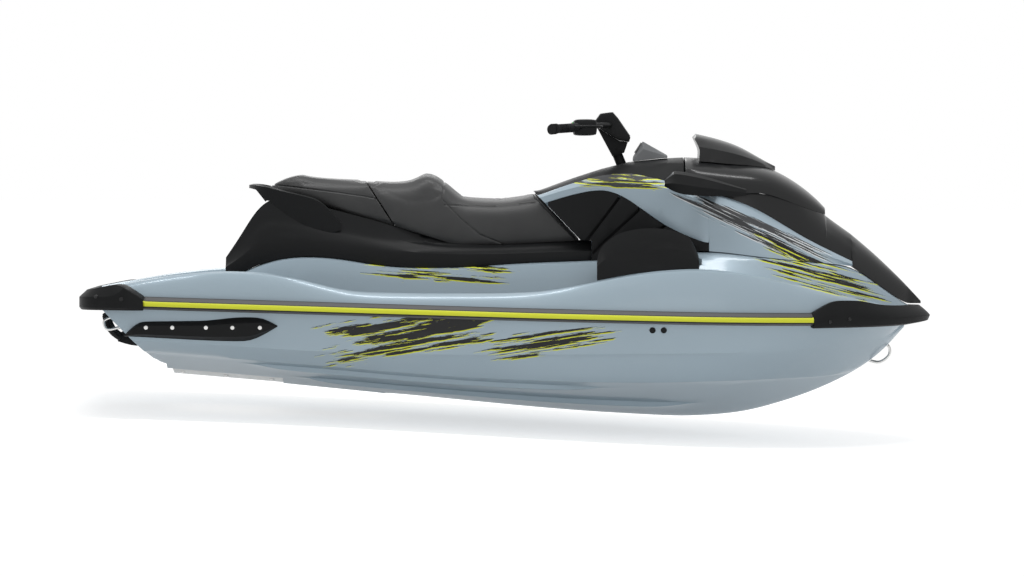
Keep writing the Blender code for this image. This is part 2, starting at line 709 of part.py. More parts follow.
def wrap_path(places, corner=None):
    """Plan points on the bond line at these places, then on to the centreline, with outward directions."""
    plan = [Vector((along(x), across(BOND_Y(x)), 0)) for x in places]
    if corner is not None:
        plan += [Vector((along(corner), across(BOND_Y(corner)) * share, 0)) for share in (0.66, 0.0)]
    upright = Vector((0, 0, 1 if plan[-1].x > plan[0].x else -1))
    found = []
    for i, point in enumerate(plan):
        ahead, behind = plan[min(i + 1, len(plan) - 1)], plan[max(i - 1, 0)]
        found.append((point, upright.cross(ahead - behind).normalized()))
    return found


def swept(name, path, profiles, finish, mirror=False):
    """A strip outside the bond line; each profile holds (outward, height) pairs."""
    bm = bmesh.new()
    rows = []
    for (place, out), profile in zip(path, profiles):
        rows.append([bm.verts.new(place + out * (o + SIDE_GAP) + Vector((0, 0, z))) for o, z in profile])
    skin(bm, rows)
    bm.faces.new(rows[0])
    if not mirror:
        bm.faces.new(list(reversed(rows[-1])))
    obj = add_object(name, bm, finish)
    if mirror:
        half = obj.modifiers.new("mirror", "MIRROR")
        half.use_axis = (False, True, False)
        half.merge_threshold = 0.0001
        applied(obj)
    return obj


def rail_profile(x):
    """Outward offset and height of the rub rail about the bond line."""
    t, mid = RAIL_THICK, BOND_Z(x)
    return [(0.0, mid - RAIL_DOWN), (t * 0.62, mid - RAIL_DOWN), (t, mid - RAIL_DOWN * 0.62),
            (t, mid + RAIL_UP * 0.22), (t * 0.86, mid + RAIL_UP * 0.34), (t * 0.30, mid + RAIL_UP),
            (0.0, mid + RAIL_UP)]


def make_rails():
    """The rub rails cover the bond flange from bumper to bumper."""
    run = places(RAIL_AFT_X + SEAT_GAP, RAIL_FORE_X - SEAT_GAP)
    left = swept("rub_rail_left", wrap_path(run), [rail_profile(x) for x in run], "rail_grey")
    mirrored(left, "rub_rail_right")


# Bumpers: top edge, bottom edge and thickness along the bond line
BOW_TOP_Z = track((1.185, 0.147), (1.29, 0.196), (1.38, 0.193), (1.437, 0.178), (1.50, 0.172),
                  (1.60, 0.172))
BOW_LOW_Z = track((1.185, 0.087), (1.437, 0.090), (1.56, 0.096), (1.60, 0.106))
BOW_THICK = track((1.185, 0.032), (1.40, 0.044), (1.56, 0.062), (1.60, 0.075))
STERN_TOP_Z = track((-1.63, 0.240), (-1.55, 0.257), (-1.50, 0.267), (-1.484, 0.262), (-1.415, 0.218))
STERN_EDGE_Z = track((-1.63, 0.212), (-1.52, 0.214), (-1.486, 0.249), (-1.47, 0.240), (-1.415, 0.204))
STERN_LOW_Z = track((-1.63, 0.162), (-1.415, 0.160))
STERN_THICK = track((-1.63, 0.0445), (-1.53, 0.044), (-1.486, 0.058), (-1.47, 0.056), (-1.415, 0.034))


def bow_profile(x):
    top, low, t = BOW_TOP_Z(x), BOW_LOW_Z(x), BOW_THICK(x)
    return [(0.0, low + 0.004), (t * 0.70, low), (t * 0.88, low + 0.006), (t, mix(low, top, 0.40)),
            (t * 0.84, mix(low, top, 0.62)), (t * 0.42, top), (0.0, top)]


def stern_profile(x):
    """The stern wrap's flat side turns in along an edge that climbs to a shoulder at its fore end."""
    top, edge, low, t = STERN_TOP_Z(x), STERN_EDGE_Z(x), STERN_LOW_Z(x), STERN_THICK(x)
    return [(0.0, low + 0.002), (t * 0.80, low), (t, low + 0.010), (t, edge), (t * 0.30, top), (0.0, top)]


def make_bumpers():
    """Soft wraps round the bow and the stern."""
    run = places(RAIL_FORE_X, DECK_FORE_X, 1.23, 1.29, 1.39)
    profiles = [bow_profile(x) for x in run + [DECK_FORE_X, DECK_FORE_X]]
    swept("bow_bumper", wrap_path(run, corner=DECK_FORE_X), profiles, "black_plastic", mirror=True)
    run = list(reversed(places(DECK_AFT_X, RAIL_AFT_X, -1.47, -1.486)))
    profiles = [stern_profile(x) for x in run + [DECK_AFT_X, DECK_AFT_X]]
    swept("stern_bumper", wrap_path(run, corner=DECK_AFT_X), profiles, "black_plastic", mirror=True)


# Seat base, seats
SPLIT_TOP = (-0.561, 0.666)
SPLIT_LOW = (-0.454, 0.500)
FRONT_TOP = (0.109, 0.615)
FRONT_LOW = (0.281, 0.436)
BASE_FORE_X = 0.330
BASE_AFT_X = -1.108


def base_section(x):
    top = SKIRT_Z(x) + SEAT_GAP
    foot, rim = SKIRT_Y(x) - 0.030, SKIRT_Y(x) - 0.055
    rise = ramp(x, BASE_AFT_X, -0.93)
    edge = max(BASE_EDGE_Z(x), top + 0.010)
    rim_z = max(BASE_RIM_Z(x), edge + 0.008)
    crown = max(SEAT_FLOOR_Z(x) - SEAT_GAP, rim_z + 0.004)
    return [(0, top), (foot, top), (foot + 0.004, mix(top, edge, 0.5)), (foot, edge),
            (rim + 0.002, rim_z - 0.010), (rim - 0.006, rim_z), (mix(rim - 0.02, rim - 0.034, rise), crown),
            (0, crown)]


def make_seat_base():
    base = half_loft("seat_base", places(BASE_AFT_X, BASE_FORE_X), base_section, "black_plastic")
    return cut(base, engine_bay_cutter())


def seat_section(x):
    low, top = SEAT_FLOOR_Z(x), SEAT_TOP_Z(x)
    crown, waist = SEAT_CROWN_Y(x), SEAT_WAIST_Y(x)
    tall = top - low
    return [(0, low), (waist - 0.014, low), (waist - 0.004, low + 0.10 * tall), (waist, low + 0.42 * tall),
            (waist - 0.006, low + 0.66 * tall), (mix(crown, waist, 0.55), top - 0.13 * tall),
            (crown, top - 0.035 * tall), (crown * 0.5, top - 0.004), (0, top)]


SEAT_PLACES = places(-0.942, 0.281, -0.92, -0.86, -0.78, -0.56, -0.50, -0.40, -0.367, -0.335, -0.312,
                     -0.285, -0.25,
                     -0.17, -0.12, -0.05, 0.06)


def behind_plane(top, low, shift, name):
    """A cutter for all that lies aft of the slanted plane through top and low, moved fore by shift."""
    run = (top[0] - low[0]) / (top[1] - low[1])
    high = (top[0] + run * (1.2 - top[1]) + shift, 1.2)
    deep = (low[0] + run * (-0.2 - low[1]) + shift, -0.2)
    return prism(name, [(along(x), z) for x, z in (deep, high, (-2.4, 1.2), (-2.4, -0.2))], 0.8, None,
                 cutter=True)


def ahead_of_plane(top, low, shift, name):
    run = (top[0] - low[0]) / (top[1] - low[1])
    high = (top[0] + run * (1.2 - top[1]) + shift, 1.2)
    deep = (low[0] + run * (-0.2 - low[1]) + shift, -0.2)
    return prism(name, [(along(x), z) for x, z in (deep, high, (2.4, 1.2), (2.4, -0.2))], 0.8, None,
                 cutter=True)


def make_seats():
    rear = half_loft("seat_rear", SEAT_PLACES, seat_section, "vinyl")
    front = half_loft("seat_front", SEAT_PLACES, seat_section, "vinyl")
    cut(rear, ahead_of_plane(SPLIT_TOP, SPLIT_LOW, -SEAT_SPLIT_GAP / 2, "ahead_of_split"))
    cut(front, behind_plane(SPLIT_TOP, SPLIT_LOW, SEAT_SPLIT_GAP / 2, "behind_split"))
    cut(front, ahead_of_plane(FRONT_TOP, FRONT_LOW, 0.0, "ahead_of_front"))


# Cowl, knee panels, console
KNEE_Y = 0.205
KNEE_FORE_X = 0.790
KNEE_TOP_Z = line((0.10, 0.700), (0.367, 0.646), (0.43, 0.622), (0.60, 0.500), (0.83, 0.395))
COWL_AFT_X = 0.100
COWL_FORE_X = 1.360
CONSOLE_FORE_X = 0.694
COWL_SINK = 0.012
GLOVE_AFT_X = 0.195
GLOVE_FORE_X = 0.350
GLOVE_HALF = 0.085
GLOVE_FLOOR_Z = 0.575
CONSOLE_FLAT = 0.115


def knee_rim(x):
    """Half breadth and height of the upper edge of the knee's recess."""
    foot, low = SKIRT_Y(x) - 0.016, SKIRT_Z(x)
    cy, cz = COWL_CREASE_Y(x), COWL_CREASE_Z(x)
    height = max(min(KNEE_TOP_Z(x), cz - 0.026), low + 0.034)
    return Vector((max(mix(foot, cy, (height - low) / (cz - low)) - 0.004, KNEE_Y + 0.004), height))


def cowl_section(x):
    foot = SKIRT_Y(x) - 0.012 - 0.004
    low = SKIRT_Z(x) + SEAT_GAP
    cy, cz = COWL_CREASE_Y(x), max(COWL_CREASE_Z(x), low + 0.008)
    ey, ez = COWL_EDGE_Y(x), max(COWL_EDGE_Z(x), low + 0.010)
    if x < KNEE_FORE_X:
        rim = knee_rim(x)
        side = [(KNEE_Y, low), (KNEE_Y, rim.y - 0.014), (rim.x, rim.y)]
    else:
        side = [(foot, low), (mix(foot, cy, 0.35) - 0.004, mix(low, cz, 0.35)),
                (mix(foot, cy, 0.8) - 0.004, mix(low, cz, 0.8))]
    inner = ey - 0.010
    return [(0, low)] + side + [(cy, cz), (mix(cy, ey, 0.5), mix(cz, ez, 0.55)), (ey, ez),
                                (inner, ez - COWL_SINK), (0, ez - COWL_SINK)]


def seat_room(shift, name):
    """Cutter for the seat and its base, which the cowl and knee panels meet."""
    run = (FRONT_TOP[0] - FRONT_LOW[0]) / (FRONT_TOP[1] - FRONT_LOW[1])
    high = (FRONT_TOP[0] + run * (0.8 - FRONT_TOP[1]), 0.8)
    step = SEAT_FLOOR_Z(BASE_FORE_X) + 0.0015
    outline = [(-0.6, -0.1), (BASE_FORE_X, -0.1), (BASE_FORE_X, step),
               (FRONT_LOW[0] + run * (step - FRONT_LOW[1]), step), high, (-0.6, 0.8)]
    return prism(name, [(along(x) + shift, z) for x, z in outline], 0.8, None, cutter=True)


def glovebox_cutter():
    return box("glovebox", (along(GLOVE_AFT_X), -GLOVE_HALF, GLOVE_FLOOR_Z),
               (along(GLOVE_FORE_X), GLOVE_HALF, 0.9),
               None, cutter=True)


def make_cowl():
    cowl = half_loft("cowl", places(COWL_AFT_X, COWL_FORE_X, 0.16, 0.43, KNEE_FORE_X - 0.001, KNEE_FORE_X),
                     cowl_section, "gelcoat")
    return cut(cowl, seat_room(0.0012, "seat_room"), bin_cutter(), glovebox_cutter())


def knee_section(x):
    foot, low, rim = SKIRT_Y(x) - 0.016, SKIRT_Z(x) + 2 * SEAT_GAP, knee_rim(x)
    inner = KNEE_Y + SIDE_GAP
    return [(x, inner, low), (x, foot, low), (x, mix(foot, rim.x, 0.5) + 0.002, mix(low, rim.y, 0.5)),
            (x, rim.x, rim.y - 0.0015), (x, inner, rim.y - 0.0155)]


LOUVRES = (((0.236, 0.395), (0.305, 0.430), (0.434, 0.600), (0.470, 0.700)),
           ((0.330, 0.380), (0.360, 0.412), (0.512, 0.552), (0.560, 0.700)),
           ((0.395, 0.370), (0.430, 0.395), (0.600, 0.480), (0.700, 0.560)))
LOUVRE_WIDTH = 0.010
LOUVRE_DEEP = 0.014


def make_knee_panels():
    """Each knee panel is split into louvres by slanted grooves."""
    run = places(0.16, KNEE_FORE_X - 0.002, 0.43)
    rings = [[(along(x), across(y), z) for x, y, z in knee_section(place)] for place in run]
    left = loft("knee_panel_left", rings, "black_plastic")
    cut(left, seat_room(0.002, "knee_room"))
    for number, groove in enumerate(LOUVRES):
        upper = [(along(x), z) for x, z in groove]
        lower = [(x + LOUVRE_WIDTH, z - LOUVRE_WIDTH * 0.6) for x, z in reversed(upper)]
        depth = min(knee_rim(x).x for x, z in groove[:3])
        cut(left, prism(f"louvre_{number}", upper + lower, 0.6, None, cutter=True,
                        start=across(depth) - LOUVRE_DEEP))
    mirrored(left, "knee_panel_right")


def console_section(x):
    half = COWL_EDGE_Y(x) - 0.012
    low = COWL_EDGE_Z(x) - COWL_SINK + SEAT_GAP
    top = CONSOLE_TOP_Z(x)
    edge = COWL_EDGE_Z(x) + 0.001
    return [(0, low), (half - 0.004, low), (half, edge),
            (mix(CONSOLE_FLAT, half, 0.55), mix(edge, top, 0.78)),
            (CONSOLE_FLAT, top), (0, top)]


def steer_point(rise, y=0.0, fore=0.0):
    """A place on the steering head: its rise along the column, half breadth, and how far ahead of the axis."""
    lean = math.radians(STEER_LEAN)
    return Vector((along(STEER_X) - rise * math.sin(lean) + fore * math.cos(lean), y,
                   STEER_Z + rise * math.cos(lean) + fore * math.sin(lean)))


STEER_AXIS = Vector((-math.sin(math.radians(STEER_LEAN)), 0, math.cos(math.radians(STEER_LEAN))))
COLUMN_DEEP = 0.030


def make_console():
    console = half_loft("console", places(COWL_AFT_X + 0.004, CONSOLE_FORE_X, 0.18), console_section,
                        "black_plastic")
    socket = cylinder("column_socket", steer_point(-COLUMN_DEEP), STEER_AXIS, COLUMN_R + SHAFT_GAP, 0.2,
                      None,
                      cutter=True)
    return cut(console, seat_room(0.0012, "console_room"), glovebox_cutter(), lid_room(), socket)


LID_AFT_X = 0.175
LID_FORE_X = 0.375
LID_HALF = 0.100
LID_ROOM = 0.0015


def lid_section(x, room=0.0):
    low, half = CONSOLE_TOP_Z(x) - LID_WALL - room / 2, LID_HALF + room
    top = low + (LID_WALL if not room else 0.050)
    return [(0, low), (half, low), (half, top), (0, top)]


def lid_room():
    def section(x):
        return lid_section(x, LID_ROOM)

    return half_loft("lid_room", places(LID_AFT_X - LID_ROOM, LID_FORE_X + LID_ROOM), section, None,
                     cutter=True)


def make_lid():
    half_loft("glovebox_lid", places(LID_AFT_X, LID_FORE_X), lid_section, "black_plastic")


GAUGE_AFT_X = 0.498
GAUGE_PEAK_X = 0.536
GAUGE_FORE_X = 0.632
GAUGE_TOP_Z = line((GAUGE_AFT_X, 0.762), (GAUGE_PEAK_X, 0.820), (GAUGE_FORE_X, 0.766),
                   stations=(GAUGE_AFT_X, GAUGE_PEAK_X, GAUGE_FORE_X))
GAUGE_HALF = 0.105


def gauge_section(x):
    low = CONSOLE_TOP_Z(x) + SEAT_GAP
    top = max(GAUGE_TOP_Z(x), low + 0.004)
    return [(0, low), (GAUGE_HALF, low), (GAUGE_HALF - 0.006, mix(low, top, 0.6)),
            (GAUGE_HALF - 0.030, top - 0.002),
            (0, top)]


def make_gauge_hood():
    half_loft("gauge_hood", places(GAUGE_AFT_X, GAUGE_FORE_X, GAUGE_PEAK_X), gauge_section, "black_plastic")


# Hoods, windscreen and mirrors
HOOD_FORE_X = 1.256
NOSE_AFT_X = 0.840
NOSE_TIP_LOW = 0.178
NOSE_FORE_X = 1.638


def hood_outer(x, drop=0.0):
    ey, ez, top = HOOD_EDGE_Y(x) - drop, HOOD_EDGE_Z(x), HOOD_TOP_Z(x) - drop
    return [(ey, ez), (ey * 0.985, mix(ez, top, 0.30)), (ey * 0.90, mix(ez, top, 0.62)),
            (ey * 0.66, mix(ez, top, 0.88)), (ey * 0.33, mix(ez, top, 0.98)), (0, top)]


def hood_section(x):
    return list(reversed(hood_outer(x, HOOD_WALL))) + hood_outer(x)


def make_hoods():
    hood = half_loft("hood_upper", places(0.70, HOOD_FORE_X, stations=HOOD_STATIONS), hood_section,
                     "gloss_black")
    run = sorted({*places(NOSE_AFT_X, HOOD_FORE_X, stations=HOOD_STATIONS),
                  *places(NOSE_AFT_X, NOSE_FORE_X, COWL_FORE_X + 0.001, 1.584)})
    nose = half_loft("hood_lower", run, nose_section, "gloss_black")
    cut(nose, bin_cutter())
    return hood


def nose_section(x):
    if x <= COWL_FORE_X:
        low = COWL_EDGE_Z(x) - COWL_SINK + SEAT_GAP
        side = COWL_EDGE_Y(x) - 0.012
        edge = COWL_EDGE_Z(x) + 0.001
    else:
        low = max(SKIRT_Z(x) + SEAT_GAP, NOSE_TIP_LOW if x > 1.58 else 0)
        side = min(COWL_EDGE_Y(x), SKIRT_Y(x) - 0.014)
        edge = low + 0.004
    side = max(side, 0.012)
    if x <= HOOD_FORE_X:
        ledge_y = min(HOOD_EDGE_Y(x) + 0.002, side - 0.004)
        ledge = HOOD_EDGE_Z(x) - LID_CLEAR
        return [(0, low), (side, low), (side, edge), (mix(side, ledge_y, 0.35), mix(edge, ledge, 0.6)),
                (ledge_y, ledge), (ledge_y * 0.5, ledge), (0, ledge)]
    top = max(NOSE_TOP_Z(x), edge + 0.006)
    return [(0, low), (side, low), (side, edge), (side * 0.86, mix(edge, top, 0.45)),
            (side * 0.62, mix(edge, top, 0.78)), (side * 0.30, mix(edge, top, 0.96)), (0, top)]


SCREEN_TOP_Z = track((0.722, 0.826), (0.745, 0.850), (0.80, 0.838), (0.904, 0.806), (1.02, 0.742),
                     (1.06, 0.722))
SCREEN_HALF = track((0.722, 0.205), (0.80, 0.200), (0.904, 0.170), (1.02, 0.090), (1.06, 0.030))


def screen_section(x):
    """The windscreen's fairing stands on the upper hood."""
    ey, ez, hood = HOOD_EDGE_Y(x), HOOD_EDGE_Z(x), HOOD_TOP_Z(x)
    half = min(SCREEN_HALF(x), 0.66 * ey)

    def ground(y):
        share = y / ey
        level = mix(1.0, 0.98, share / 0.33) if share < 0.33 else mix(0.98, 0.88, (share - 0.33) / 0.33)
        return mix(ez, hood, level) - 0.004

    middle = min(0.33 * ey, half * 0.9)
    rim = ground(half)
    top = max(SCREEN_TOP_Z(x), ground(0) + 0.004)
    return [(0, ground(0)), (middle, ground(middle)), (half, rim), (half - 0.006, mix(rim, top, 0.55)),
            (half * 0.70, mix(rim, top, 0.90)), (half * 0.35, top - 0.002), (0, top)]


def make_windscreen(hood):
    screen = half_loft("windscreen", places(0.722, 1.06, stations=HOOD_STATIONS), screen_section,
                       "gloss_black")
    hollow = [(0.60, 0.70), (0.756, 0.70), (0.756, 0.757), (0.759, 0.783), (0.747, 0.812), (0.728, 0.846),
              (0.60, 0.96)]
    cut(screen, prism("screen_hollow", [(along(x), z) for x, z in hollow], 0.4, None, cutter=True))
    cut(screen, grown(hood, SEAT_GAP))


def make_mirrors(hood):
    """Mirror pods on short arms from the upper hood's sides."""
    rings = []
    for x, low, top, inner, outer in ((0.615, 0.642, 0.668, 0.344, 0.412),
                                      (0.652, 0.622, 0.702, 0.336, 0.428),
                                      (0.690, 0.608, 0.702, 0.334, 0.434),
                                      (0.790, 0.604, 0.678, 0.336, 0.424),
                                      (0.860, 0.604, 0.655, 0.342, 0.400),
                                      (0.935, 0.606, 0.632, 0.350, 0.374)):
        outline = [(inner + 0.014, low), (mix(inner, outer, 0.78), low), (outer, mix(low, top, 0.42)),
                   (mix(inner, outer, 0.80), mix(low, top, 0.86)), (mix(inner, outer, 0.45), top),
                   (inner, mix(low, top, 0.60))]
        rings.append([(along(x), across(y), z) for y, z in outline])
    left = loft("mirror_left", rings, "black_plastic")
    x = 0.790
    arm = box("mirror_arm",
              (along(x) - 0.045, across(HOOD_EDGE_Y(x) - HOOD_WALL / 2), HOOD_EDGE_Z(x) + 0.004),
              (along(x) + 0.045, across(0.36), HOOD_EDGE_Z(x) + 0.020), "black_plastic")
    fuse(left, arm)
    cut(left, grown(hood, SEAT_GAP))
    mirrored(left, "mirror_right")


# Handlebar
LEVER_R = 0.005
PAD_HALF = 0.074
COLUMN_RISE = 0.100


def head_point(ahead, y, rise):
    """A place on the steering head from the column's foot: ahead along X, half breadth, and height."""
    return Vector((along(STEER_X) + ahead, y, STEER_Z + rise))


def bar_route():
    """The bar's half route from the clamp out to the inner end of the grip."""
    return [head_point(-0.048, 0.0, 0.150), head_point(-0.050, 0.095, 0.151),
            head_point(-0.092, 0.165, 0.150),
            head_point(-0.178, 0.268, 0.143)]


PAD_OUTLINE = ((-0.107, 0.164), (-0.083, 0.198), (-0.036, 0.204), (-0.014, 0.180), (0.038, 0.104),
               (0.032, 0.084),
               (-0.012, 0.092), (-0.078, 0.130))
COVER_OUTLINE = ((-0.094, 0.140), (-0.034, 0.028), (0.012, 0.042), (0.030, 0.094), (-0.010, 0.120))
COVER_HALF = 0.034
CONTROL_LOW = Vector((0.045, 0.026, 0.036))
CONTROL_HIGH = Vector((0.048, 0.026, 0.029))


def head_prism(name, outline, half):
    return prism(name, [tuple(head_point(x, 0, z).xz) for x, z in outline], half, "black_plastic")


def make_handlebar():
    half = bar_route()
    route = [Vector((p.x, -p.y, p.z)) for p in reversed(half[1:])] + half
    bar = tube("handlebar", route, BAR_R, "black_plastic", smooth_turns=True)
    bar_room = grown(bar, SEAT_GAP)
    tip_a, tip_b = half[-2], half[-1]
    way = (tip_b - tip_a).normalized()
    start = tip_b + way * SEAT_GAP * 3
    reach = (BAR_HALF - start.y) / way.y
    for side in ("left", "right"):
        sign = 1 if side == "left" else -1
        flip = Vector((1, sign, 1))
        grip = cylinder(f"grip_{side}", start * flip, way * flip, GRIP_R, reach, "rubber")
        flange = cylinder(f"flange_{side}", (start + way * (reach - 0.012)) * flip, way * flip,
                          GRIP_R + 0.004,
                          0.012, "rubber")
        fuse(grip, flange)
        centre = tip_a + way * 0.083
        low, high = centre - CONTROL_LOW, centre + CONTROL_HIGH
        if sign < 0:
            low.y, high.y = -high.y, -low.y
        control = box(f"control_{side}", low, high, "black_plastic")
        soften(control, 0.015, 2)
        cut(control, bar_room)
        name = "reverse_lever" if side == "left" else "throttle_lever"
        root = centre + Vector((CONTROL_HIGH.x + SEAT_GAP, 0.0, 0.0))
        bends = ((0, 0, 0), (0.006, 0, 0), (0.013, 0.002, 0), (0.018, 0.007, 0), (0.020, 0.014, 0),
                 (0.010, 0.045, 0), (-0.016, 0.072, 0), (-0.044, 0.096, 0), (-0.088, 0.134, -0.002))
        points = [root + Vector(bend) for bend in bends]
        tube(name, [p * flip for p in points], LEVER_R, "black_plastic", smooth_turns=False)
    pad = head_prism("handlebar_pad", PAD_OUTLINE, PAD_HALF)
    soften(pad, 0.009, 2, angle=15)
    pad_room = grown(pad, SEAT_GAP)
    cut(pad, bar_room)
    base = steer_point(-COLUMN_DEEP + SHAFT_GAP)
    column = cylinder("steering_column", base, STEER_AXIS, COLUMN_R, COLUMN_DEEP + COLUMN_RISE,
                      "black_plastic")
    fuse(column, head_prism("column_cover", COVER_OUTLINE, COVER_HALF))
    cut(column, pad_room, bar_room)


# Footwells and trim
def footwell_strip(name, places, section, finish):
    rings = [[(along(x), across(y), z) for y, z in section(x)] for x in places]
    return loft(name, rings, finish)


def make_mats():
    def section(x):
        inner, outer = SKIRT_Y(x) + 0.044, BOND_Y(x) - 0.116
        low = FLOOR_Z(x) + SEAT_GAP
        return [(inner, low), (outer, low), (outer, low + 0.006), (inner, low + 0.006)]

    left = footwell_strip("footwell_mat_left", places(-0.86, 0.62), section, "mat")
    mirrored(left, "footwell_mat_right")

    def rear(x):
        top = SKIRT_Z(x) + SEAT_GAP
        return [(0, top), (0.268, top), (0.268, top + 0.006), (0, top + 0.006)]

    half_loft("rear_mat", places(-1.575, -1.32), rear, "mat")


def pod_section(x):
    beam = BOND_Y(x)
    low = GUNWALE_Z(x) + SEAT_GAP
    top = max(POD_TOP_Z(x), low + 0.006)
    outer, inner = beam - 0.056, beam - 0.160
    return [(inner, low), (outer, low), (outer - 0.010, mix(low, top, 0.55)), (outer - 0.040, top),
            (inner + 0.030, top - 0.004), (inner, mix(low, top, 0.60))]


POD_TOP_Z = track((0.350, 0.374), (0.38, 0.424), (0.446, 0.464), (0.565, 0.482), (0.68, 0.462),
                  (0.724, 0.432),
                  (0.748, 0.374))


def make_pods(deck):
    left = footwell_strip("footwell_pod_left", places(0.350, 0.748, 0.38, 0.43, 0.53, 0.724), pod_section,
                          "black_plastic")
    cut(left, grown(deck, SEAT_GAP))
    mirrored(left, "footwell_pod_right")


SPONSON_TOP_Z = track((-1.493, 0.063), (-1.429, 0.117), (-1.172, 0.121), (-1.045, 0.135), (-0.95, 0.133),
                      (-0.894, 0.101))
SPONSON_LOW_Z = track((-1.493, 0.059), (-1.013, 0.039), (-0.894, 0.097))


def make_sponsons():
    def section(x):
        def side(z):
            share = (z - crease_z(x) - CREASE_HALF) / (BOND_Z(x) - crease_z(x) - CREASE_HALF)
            return mix(CREASE_Y(x), BOND_Y(x), min(1, max(0, share))) + 1.5 * SIDE_GAP

        low, top = SPONSON_LOW_Z(x), max(SPONSON_TOP_Z(x), SPONSON_LOW_Z(x) + 0.004)
        thick = 0.030 * min(1, (top - low) / 0.03)
        return [(side(low), low), (side(low) + thick, low + 0.2 * (top - low)),
                (side(top) + thick * 0.8, mix(low, top, 0.75)), (side(top), top)]

    left = footwell_strip("sponson_left", places(-1.493, -0.894, -1.46, -1.429, -1.318, -1.172), section,
                          "black_plastic")
    mirrored(left, "sponson_right")


HANDLE_THICK = 0.016
HANDLE_STATIONS = ((-0.655, 0.212, 0.470, 0.500), (-0.700, 0.214, 0.455, 0.552),
                   (-0.743, 0.213, 0.465, 0.592),
                   (-0.800, 0.209, 0.478, 0.607), (-0.870, 0.200, 0.495, 0.622),
                   (-0.922, 0.190, 0.530, 0.637),
                   (-0.955, 0.178, 0.590, 0.645), (-0.985, 0.150, 0.628, 0.650),
                   (-1.006, 0.100, 0.634, 0.651),
                   (-1.014, 0.050, 0.634, 0.651), (-1.016, 0.0, 0.634, 0.651))


def make_grab_handle(base):
    """A flat wing beside the rear seat on each side, joined by a bar behind its tail."""
    half = [(Vector((along(x), across(y), 0)), low, top) for x, y, low, top in HANDLE_STATIONS]
    whole = half + [(Vector((p.x, -p.y, 0)), low, top) for p, low, top in reversed(half[:-1])]
    rings = []
    for i, (place, low, top) in enumerate(whole):
        ahead, behind = whole[min(i + 1, len(whole) - 1)][0], whole[max(i - 1, 0)][0]
        out = Vector((0, 0, -1)).cross(ahead - behind).normalized() * HANDLE_THICK / 2
        rings.append([place - out + Vector((0, 0, low)), place + out + Vector((0, 0, low)),
                      place + out + Vector((0, 0, top - 0.004)), place - out + Vector((0, 0, top))])
    handle = loft("grab_handle", rings, "black_plastic")
    cut(handle, grown(base, SEAT_GAP))


STEP_PIVOT = (-1.513, 0.050)
STEP_Y = (-0.390, -0.250)
STEP_R = 0.013


def make_fittings(hull):
    """Bow eye, stern eyes, tow hook, and the boarding step on its bracket."""
    room = grown(hull, SEAT_GAP)
    stem = [(1.425, -0.046), (1.474, -0.056), (1.512, -0.030), (1.514, 0.004), (1.490, 0.020)]
    eye = tube("bow_eye", [(along(x), 0, z) for x, z in stem], 0.006, "steel")
    cut(eye, room)
    for side, y in (("left", 0.430), ("right", -0.430)):
        loop = [(-1.540, 0.134), (-1.576, 0.118), (-1.564, 0.084), (-1.505, 0.094)]
        eye = tube(f"stern_eye_{side}", [(along(x), across(y), z) for x, z in loop], 0.006, "steel")
        cut(eye, room)
    floor = SKIRT_Z(-1.60) + SEAT_GAP
    x = along(-1.603)
    hook = box("tow_hook", (x - 0.018, -0.045, floor), (x + 0.018, 0.045, floor + 0.004), "steel")
    loop = [(x, -0.026, floor + 0.001), (x, -0.026, floor + 0.014), (x, -0.016, floor + 0.024),
            (x, 0.016, floor + 0.024), (x, 0.026, floor + 0.014), (x, 0.026, floor + 0.001)]
    fuse(hook, tube("hook_loop", loop, 0.005, "steel"))
    px, pz = STEP_PIVOT
    outline = [(px - 0.012, pz - 0.014), (px - 0.012, pz + 0.014), (px + 0.030, pz + 0.040),
               (px + 0.080, pz + 0.010),
               (px + 0.095, pz - 0.030), (px + 0.045, pz - 0.032)]
    bracket = prism("step_bracket", [(along(x), z) for x, z in outline], across(STEP_Y[1]), "black_plastic",
                    start=across(STEP_Y[0]))
    cut(bracket, room)
    edge = STEP_R + 2 * SEAT_GAP
    low, high = across(STEP_Y[0]) - edge, across(STEP_Y[1]) + edge
    side = [(px, pz), (px - 0.030, pz + 0.018), (px - 0.050, pz + 0.046), (px - 0.060, pz + 0.090)]
    route = [(along(x), low, z) for x, z in side]
    route += [(along(x), high, z) for x, z in reversed(side)]
    tube("boarding_step", route, STEP_R, "steel", smooth_turns=False)


def make_display():
    """The instrument's screen lies on the aft slope of its hood."""
    low, high = (Vector((x, GAUGE_TOP_Z(x))) for x in (GAUGE_AFT_X + 0.007, GAUGE_PEAK_X - 0.005))
    out = Vector((low.y - high.y, high.x - low.x)).normalized()
    ring = [low + out * SEAT_GAP, high + out * SEAT_GAP, high + out * 0.005, low + out * 0.005]
    prism("display", [(along(p.x), p.y) for p in ring], 0.066, "glass")


# Engine
def make_engine():
    low, high = ENGINE_LOW, ENGINE_HIGH
    box("engine", (along(low[0]), -across(high[1]), low[2]), (along(high[0]), across(high[1]), high[2]),
        "engine")


# Jet drive
DRIVE_X = -1.262
VENTURI_X = -1.212
EAR_IN = 0.0865
EAR_OUT = 0.0965
RING_IN = 0.072
RING_OUT = 0.081
IMPELLER_X = -1.000
NOZZLE_R = 0.056
NOZZLE_FORE_X = -1.245
NOZZLE_AFT_X = -1.365
BUCKET_ARM = 0.102


